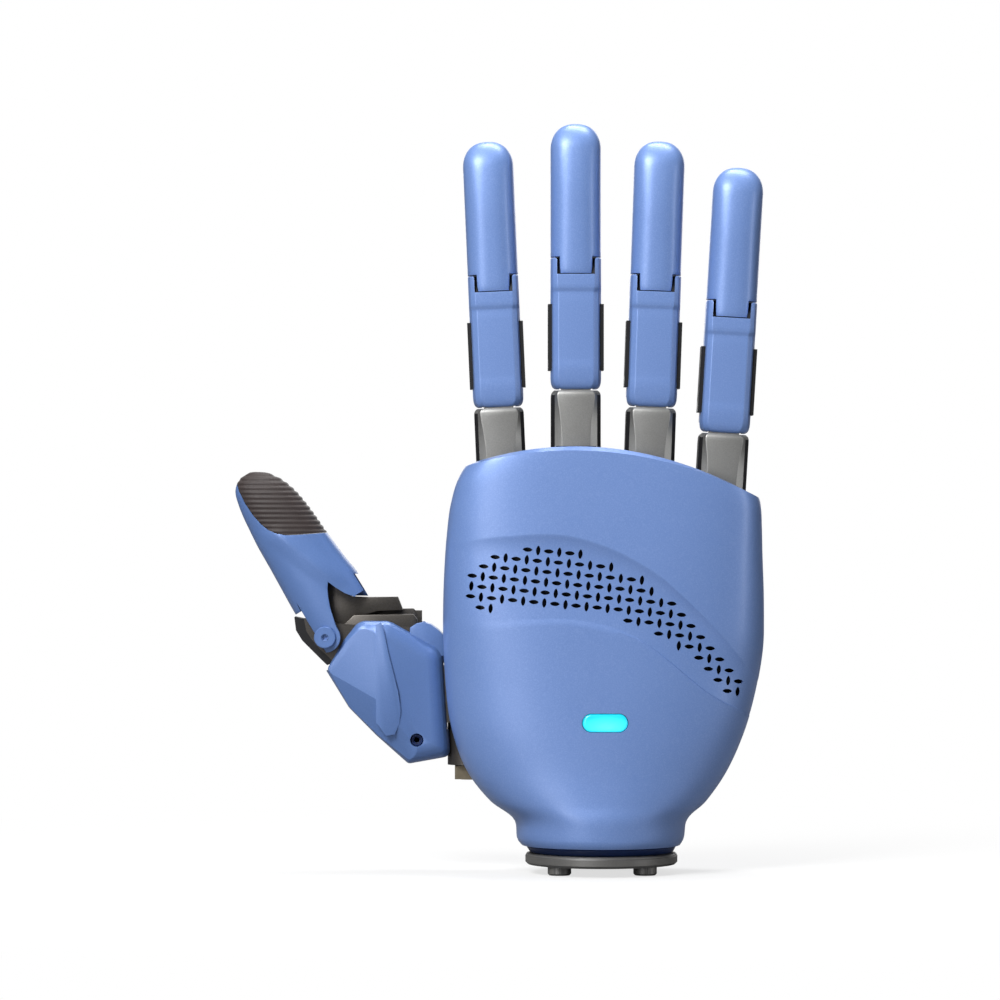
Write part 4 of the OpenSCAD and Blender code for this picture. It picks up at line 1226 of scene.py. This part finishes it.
front = base_cover(-1)
cut_with(front, [facet_cutter(30, (-67.8, -8.02, 50), 3, -9.5)])
cut_with(front, [facet_cutter(20, (-64.8, -8.02, 45.8), -41, -24)])
bm = bmesh.new()
rib = [(-67.75, 71.6), (-66.2, 72.2), (-65.3, 70), (-64.1, 64), (-62.5, 57.5), (-61.0, 51.5),
       (-60.2, 46), (-60.6, 42), (-62.0, 38.6), (-64.6, 38.2), (-67.6, 42.2)]
prism(bm, rib, -8.6, -6.5, "Y")
for vert in bm.verts:
    if vert.co.y < -8 * MM:
        x, z = vert.co.x / MM, vert.co.z / MM
        rise = 1.25 * max(0.0, min(1.0, (z - 39) / 14)) * (0.2 + 0.8 * (x + 68) / 7.5)
        vert.co.y = (-7.9 - rise) * MM
join_with(front, cutter(bm))
cut_with(front, base_rooms())
CLAMP = (-55.4, 36.9)
cut_with(front, [prism_cutter(disc(CLAMP, 2.0, 0, 360, 40), -THROUGH, -0.5, "Y")])
soften(front, 0.3, 3, 11)
at_thumb = Matrix.Translation((0, THUMB_Y * MM, 0))
settle(front, "thumb_front", thumb_shaded_blue, "thumb_base", ["thumb_front_cover"],
       at_thumb, 24)
rear = base_cover(1)
cut_with(rear, base_rooms())
soften(rear, 0.3, 2, 30)
settle(rear, "thumb_rear", thumb_shaded_blue, "thumb_base", ["thumb_back_cover"],
       at_thumb, 24)
print("thumb base covers made")

# %% [markdown]
# ## Thumb tip
#
# The tip is one long shell with the pivot's two ears at its foot, a hooked cut-out beside them for
# the crank, and a rubber pad that wraps its inner side and end. It is modelled upright in its own
# frame with the pivot at zero, and leaned outwards by 31 degrees only at the end.

# %% Thumb tip shell
TIP_TABLE = [(-4.6, -4.4, 18.2, 1), (12, -4.3, 18.2, 1), (18, -4.1, 17.4, 1),
             (26, -3.8, 16.6, 0.99), (34, -3.6, 16.1, 0.97), (40, -3.1, 15.4, 0.92),
             (44, -2.7, 14.5, 0.86), (48, -2, 12.9, 0.75), (51.5, -0.9, 10.4, 0.56),
             (53.5, 1, 7.8, 0.34), (54.4, 3, 5.8, 0.14)]
thumb_lean = (Matrix.Translation(Vector((PIVOT[0], THUMB_Y, PIVOT[1])) * MM)
              @ Matrix.Rotation(math.radians(-31), 4, "Y"))


def thumb_section(z, grow=None, steps=96):
    left, right, thick = (smooth_at(TIP_TABLE, z, k) for k in (1, 2, 3))
    half, mid = (right - left) / 2, (left + right) / 2
    depth = THUMB_T / 2 * thick
    soft = squircle(mid, half, depth, depth, 2.25, z, steps)
    firm = squircle(mid, half, depth, depth, 3.2, z, steps)
    points = [a if a.x < mid else b for a, b in zip(soft, firm)]
    for point in points:
        if point.y < 0 and RIDGE[0][0] < z < RIDGE[-1][0]:
            off = abs(point.x - smooth_at(RIDGE, z, 1))
            point.y -= 0.8 * max(0.0, smooth_at(RIDGE, z, 2)) * max(0.0, 1 - off / 4.5)
        if grow:
            out = Vector((point.x - mid, point.y, 0)).normalized()
            point += out * grow(point.x * 0.515 + point.z * 0.857)
    return points


PAD_EDGE = [(30, 19.9), (16.2, 26.9), (9.7, 30.2), (5.8, 32.3), (3.6, 34.2), (2.0, 36.4), (1.0, 39),
            (0.3, 42.5), (0.0, 47), (0.3, 51), (1.0, 54.2), (1.2, 60), (30, 60)]
RIDGE = [(10, 12.6, 0), (16.8, 10.1, 1), (25, 7.1, 1), (33, 4.1, 0.9), (37, 2.6, 0)]
bm = bmesh.new()
heights = [-4.6 + 48.6 * i / 40 for i in range(40)]
heights += [44 + 10.4 * math.sin(math.pi / 2 * i / 18) for i in range(19)]
loft(bm, [thumb_section(z) for z in heights])
tip = cutter(bm)
cut_with(tip, [
    prism_cutter([(-20, -20), (30, -20), (30, 4), (12, 15.2), (10, 18), (-1.5, 18), (-2.4, 10.4),
                  (-20, 10.4)], -5.3, 5.3, "Y"),
    prism_cutter([(4.6, -20), (4.6, 1), (5.3, 4.2), (6.0, 7), (7.05, 9.8), (8.1, 12),
                  (9.4, 13.9), (10.6, 11), (12.0, 8.3), (13.9, 6.0), (17.7, 3.7), (30, 2),
                  (30, -20)], -30, 30, "Y"),
    prism_cutter([(-15, -20), (15, -20), (15, 0), (4.6, 0)]
                 + disc((0, 0), 4.6, 0, -180, 28)[1:-1] + [(-4.6, 0), (-15, 0)], -30, 30, "Y"),
    prism_cutter(disc((0, 0), 3.4, 0, 360, 48), -9, -7.6, "Y"),
    prism_cutter(disc((0, 0), 1.8, 0, 360, 32), -20, 20, "Y"),
    prism_cutter(PAD_EDGE, -20, 20, "Y"),
    box_cutter((14.2, -12, 3.0), (19.5, -4.6, 6.2), 0.3)])
soften(tip, 0.25, 2, 40)
settle(tip, "thumb_cap", thumb_shaded_blue, "thumb_tip", ["thumb_tip_shell"],
       thumb_lean, 34)
print("thumb tip shell made")

# %% Thumb pad
def thumb_rib(level, pitch=1.45, height=0.34):
    wave = 0.5 + 0.5 * math.cos(2 * math.pi * level / pitch)
    return height * wave ** 0.6 - 0.26


bm = bmesh.new()
heights = [18 + 29.4 * i / 160 for i in range(160)]
heights += [47.6 + 6.7 * math.sin(math.pi / 2 * i / 52) for i in range(53)]
loft(bm, [thumb_section(z, thumb_rib, 110) for z in heights])
grip = cutter(bm)
keep_common(grip, prism_cutter([(x + (PAD_GAP if x < 20 else 0), z + (PAD_GAP if z < 50 else 0))
                                for x, z in PAD_EDGE], -20, 20, "Y"))
settle(grip, "thumb_grip", rubber, "thumb_tip", ["thumb_tip_pad"], thumb_lean, 45)
print("thumb pad made")

# %% [markdown]
# ## Pivot screw and crank
#
# A flat-headed screw with a hex socket holds the tip on its pivot, and is painted like the shell. A
# smaller dark one clamps the base. The crank between the ears is a milled steel part with rounded
# edges, and a blue shoulder and two raised cheeks of the base stand beside it.

# %% Pivot screw
def socket_screw(bm, center, axis, head, height, hexagon, sink):
    """A screw head with a hexagonal socket: a turned head, cut by a six-sided hole's walls."""
    turned(bm, [(hexagon + 0.25, height), (head - 0.25, height), (head, height - 0.25),
                (head, -0.6), (hexagon + 0.25, -0.6)], 48, axis, center)
    turned(bm, [(0, height - sink), (hexagon, height - sink), (hexagon, height - 0.12),
                (hexagon + 0.25, height), (hexagon + 0.25, -0.6), (0, -0.6)], 6, axis, center)


bm = bmesh.new()
spot = (PIVOT[0], THUMB_Y - THUMB_T / 2, PIVOT[1])
socket_screw(bm, spot, (0, -1, 0), 3.25, 0.42, 0.85, 0.9)
turned(bm, [(0, -0.6), (1.75, -0.6), (1.75, -15.2), (0, -15.2)], 32, (0, -1, 0), spot)
piece("thumb_pivot", bm, thumb_shaded_blue, "thumb_tip", ["thumb_tip_pin"], 25)
bm = bmesh.new()
spot = (CLAMP[0], THUMB_Y - 6.4, CLAMP[1])
socket_screw(bm, spot, (0, -1, 0), 1.85, 0.3, 0.95, 1.5)
turned(bm, [(0, -0.6), (1.85, -0.6), (1.85, -6.2), (0, -6.2)], 32, (0, -1, 0), spot)
piece("thumb_clamp_screw", bm, navy_plastic, "thumb_base", ["thumb_screw"], 25)
print("thumb screws made")

# %% Blue shoulder and raised cheeks beside the crank
shoulder = prism_cutter([(-57.5, 66), (-57.5, 70.6), (-55.5, 71.9), (-53.5, 72.3), (-51.3, 71.6),
                         (-49.0, 70.0), (-47.4, 68.4), (-47.2, 62), (-52.6, 62), (-52.6, 66)],
                        -5.6, 6.6, "Y")
cut_with(shoulder, [box_cutter((-64, -5.05, 60), (-52.9, 5.05, 73.0))])
soften(shoulder, 0.7, 3, 30)
settle(shoulder, "thumb_shoulder", thumb_shaded_blue, "thumb_base", ["thumb_base_cap"],
       at_thumb, 24)
bm = bmesh.new()
for low, high, top in ((-4.98, -3.15, 74.7), (3.15, 4.98, 76.2)):
    prism(bm, [(-77, 66), (-77.5, 71.5), (-74.4, 74.4), (-68, top - 0.2), (-56.5, top),
               (-55.2, top - 1.6), (-55.2, 66)], low, high, "Y")
cheeks = cutter(bm)
soften(cheeks, 0.35, 2, 30)
settle(cheeks, "thumb_cheeks", thumb_metal, "thumb_base", [], at_thumb, 24)
print("shoulder and cheeks made")

# %% Crank
CRANK = 2.9
crank = prism_cutter([(-84.8, 70.6), (-86, 74.4), (-82.2, 84.2), (-75, 79.9), (-69.6, 79.7),
                      (-61.2, 79.8), (-59.7, 75.9), (-67.3, 75.6), (-72.6, 74), (-80, 65.6)],
                     -CRANK, CRANK, "Y")
join_with(crank, prism_cutter(disc(PIVOT, 3.2, 0, 360, 48), -CRANK, CRANK, "Y"))
cut_with(crank, [prism_cutter(disc(PIVOT, 1.8, 0, 360, 32), -6, 6, "Y")])
soften(crank, 0.55, 2, 40)
settle(crank, "thumb_linkage", thumb_metal, "thumb_tip", ["thumb_crank"],
       at_thumb, 24)
print("crank made")

# %% [markdown]
# ## The light window
#
# The diffuser fills its opening with a hair's gap all round. It is a round-ended plug whose face
# follows the housing and is slightly domed, so the clear coat shows a soft streak.

# %% Light window
bm = bmesh.new()
low, high = (Vector(v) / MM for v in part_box("light_window"))
levels = [(0.0, -2.2), (0.0, -0.6), (0.12, -0.32), (0.35, -0.12), (0.7, 0.0), (1.3, 0.06)]


def stadium(width, height, y, steps=24):
    r = height / 2
    half = width / 2 - r
    return [Vector((LIGHT_X + half + r * math.cos(a), y, LIGHT_Z + r * math.sin(a)))
            for a in (math.pi * (i / (steps - 1) - 0.5) for i in range(steps))] + [
           Vector((LIGHT_X - half - r * math.cos(a), y, LIGHT_Z - r * math.sin(a)))
            for a in (math.pi * (i / (steps - 1) - 0.5) for i in range(steps))]


loft(bm, [stadium(LIGHT_W - 0.1 - 2 * inset, LIGHT_H - 0.1 - 2 * inset, low.y - out + 0.15)
          for inset, out in levels])
piece("light_diffuser", bm, cyan, "palm", ["light_window"], 40)
print("light window made")

# %% [markdown]
# ## The grip pad on the palm
#
# A rubber pad is glued over the palm, an even thickness above the moulded surface. Drawing it flat
# would leave it sinking in and standing off, so a patch of the housing's own surface is raised,
# given a thickness, and trimmed to the pad's outline, and a bevel rounds its rim.

# %% Palm pad
PAD_RISE, PAD_SUNK = 1.1, 0.5
PAD_OUTLINE = [(-22, 96, 4), (-26, 82, 9), (-26, 46, 4), (-8, 50, 4), (8, 72, 4), (38, 78, 4),
               (38, 92, 4)]
bm = bmesh.new()
made = bmesh.ops.create_grid(bm, x_segments=110, y_segments=80, size=1.0)
for vert in made["verts"]:
    i, j = (vert.co.x + 1) / 2, (vert.co.y + 1) / 2
    turn = math.pi * (0.1 + 0.83 * i)
    low, high = at_height(turn, PALM, 40), at_height(turn, PALM, 100)
    vert.co = housing_point(turn, low + (high - low) * j, PALM, -PAD_RISE) * MM
wall_from(bm, PALM, PAD_RISE + PAD_SUNK)
pad = cutter(bm)
keep_common(pad, prism_cutter([(p.x, p.y) for p in rounded(PAD_OUTLINE, 10)], 2, 40, "Y"))
soften(pad, 0.45, 3, 40)
settle(pad, "palm_grip", rubber, "palm", ["palm_pad"], Matrix(), 35)
print("palm pad made")

# %% [markdown]
# ## Finishes for the plain CAD parts
#
# Pins, frames, boards and drives keep their CAD meshes, because their flat faces and drilled holes
# are already right, and only take a finish. The frame inside the palm is black, but its bracket that
# shows at the thumb is bare metal, so one mask along X splits the finish.

# %% Frame finish
def frame_finish():
    finish = Finish("palm_frame_finish", IOR=1.5)
    side = finish.axis(0)
    bracket = finish.range(side, -0.0345, -0.0335, 1.0, 0.0)
    grain = finish.noise(1200, 2.0, 0.6)
    base = finish.mix(grain, shade(16, 17, 20), shade(30, 31, 36))
    metal = finish.mix(grain, shade(112, 104, 88), shade(140, 130, 110))
    finish.set("Base Color", finish.mix(bracket, base, metal))
    finish.set("Metallic", 0.75 * bracket)
    finish.set("Roughness", 0.42 + 0.12 * grain)
    finish.bump(grain, 0.25, 0.00005)
    return finish.material


palm_frame_finish = frame_finish()


def dress(node, material):
    """Gives a CAD node's own mesh a finish."""
    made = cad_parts[node]
    for index in range(max(1, len(made.data.materials))):
        if index < len(made.data.materials):
            made.data.materials[index] = material
        else:
            made.data.materials.append(material)


dress("palm_frame", palm_frame_finish)
for node in ("wrist_connector", "thumb_bumper"):
    dress(node, black_plastic)
for node in ("light_board", "control_board"):
    dress(node, board_green)
for node in ("finger_drives", "thumb_drive"):
    dress(node, drive_metal)
dress("cover_screws", pin_steel)
dress("thumb_shaft", shaft_bronze)
dress("thumb_frame", thumb_metal)
for name in FINGERS:
    dress(name + "_base_pin", pin_steel)
    dress(name + "_tip_pin", pin_steel)
    dress(name + "_tip_core", black_plastic)
    dress(name + "_link_frame", black_plastic)
print("CAD parts dressed")

# %% [markdown]
# ## Light, floor and background
#
# Product light is soft and comes mostly from the front and above. A square panel high on the left
# draws the pale stripes on the fingers and along the housing's top edge, a weaker one low on the
# left and a thin strip at the right keep the faces readable, and the sides stay dark so that every
# round form ends in a deep blue edge. The background is white only for the camera. Reflections and
# soft light meet a much dimmer room, which more lamps could never give.

# %% Lamps
def panel(name, place, aim, size, power):
    lamp = bpy.data.lights.new(name, "AREA")
    lamp.shape, lamp.size, lamp.size_y = "RECTANGLE", size[0], size[1]
    lamp.energy = power
    made = bpy.data.objects.new(name, lamp)
    made.location = place
    made.rotation_euler = (Vector(aim) - Vector(place)).to_track_quat("-Z", "Y").to_euler()
    scene.collection.objects.link(made)


panel("key", (-0.42, -0.60, 0.70), (0, 0, 0.1), (0.4, 0.4), 10.3)
panel("front", (-0.55, -1.05, 0.20), (0, 0, 0.1), (0.4, 0.4), 2.4)
panel("strip", (0.75, -0.42, 0.20), (0.02, 0, 0.1), (0.10, 0.5), 1.2)
panel("top", (0.05, 0.10, 0.85), (0.0, 0, 0.13), (0.5, 0.2), 5.0)
panel("back", (0.1, 0.8, 0.4), (0, 0, 0.1), (0.7, 0.5), 2.0)

# %% White world behind the hand
DIM, REFLECTED = 0.05, 0.12
world = bpy.data.worlds.new("studio")
scene.world = world
world.use_nodes = True
tree = world.node_tree
path = tree.nodes.new("ShaderNodeLightPath")
seen = tree.nodes.new("ShaderNodeMath")
seen.operation = "MAXIMUM"
tree.links.new(path.outputs["Is Camera Ray"], seen.inputs[0])
tree.links.new(path.outputs["Is Transmission Ray"], seen.inputs[1])
room = tree.nodes.new("ShaderNodeMath")
room.operation = "MULTIPLY"
room.inputs[1].default_value = REFLECTED
tree.links.new(path.outputs["Is Glossy Ray"], room.inputs[0])
total = tree.nodes.new("ShaderNodeMath")
total.operation = "MAXIMUM"
tree.links.new(seen.outputs[0], total.inputs[0])
tree.links.new(room.outputs[0], total.inputs[1])
level = tree.nodes.new("ShaderNodeMapRange")
level.inputs["To Min"].default_value = DIM
level.inputs["To Max"].default_value = 1.0
tree.links.new(total.outputs[0], level.inputs["Value"])
background = tree.nodes["Background"]
background.inputs["Color"].default_value = (1, 1, 1, 1)
tree.links.new(level.outputs[0], background.inputs["Strength"])
print("world made")

# %% Floor
low, high = cad_box
bm = bmesh.new()
bmesh.ops.create_grid(bm, x_segments=1, y_segments=1, size=1.6)
bmesh.ops.translate(bm, verts=bm.verts, vec=(0, 0.2, low[2] - 0.0002))
mesh = bpy.data.meshes.new("floor")
bm.to_mesh(mesh)
bm.free()
floor = bpy.data.objects.new("floor", mesh)
scene.collection.objects.link(floor)
ground = Finish("floor_white", Roughness=0.9, Specular_IOR_Level=0.1)
cloud = ground.noise(3.0, 2.0)
pale = ground.mix(cloud, (0.84, 0.84, 0.84, 1), (0.88, 0.88, 0.88, 1))
seen = ground.node("ShaderNodeLightPath", {}, {}, "Is Camera Ray")
ground.set("Base Color", ground.mix(seen, (0.22, 0.22, 0.22, 1), pale))
far = ground.node("ShaderNodeVectorMath", {"operation": "LENGTH"}, {0: ground.place}, 1)
near = ground.range(far, 0.06, 0.3, 1.0, 0.0)
white = ground.node("ShaderNodeEmission", {}, {"Color": (1, 1, 1, 1), "Strength": 1.0})
mixed = ground.node("ShaderNodeMixShader", {}, {0: seen * (1.0 - 0.3 * near * near)})
ground.tree.links.new(ground.shader.outputs[0], mixed.socket.node.inputs[1])
ground.tree.links.new(white.socket, mixed.socket.node.inputs[2])
output = ground.tree.nodes["Material Output"]
ground.tree.links.new(mixed.socket, output.inputs["Surface"])
mesh.materials.append(ground.material)
print("floor at", round(low[2] * 1000, 1), "mm")

# %% Colour view
scene.view_settings.view_transform = "Standard"
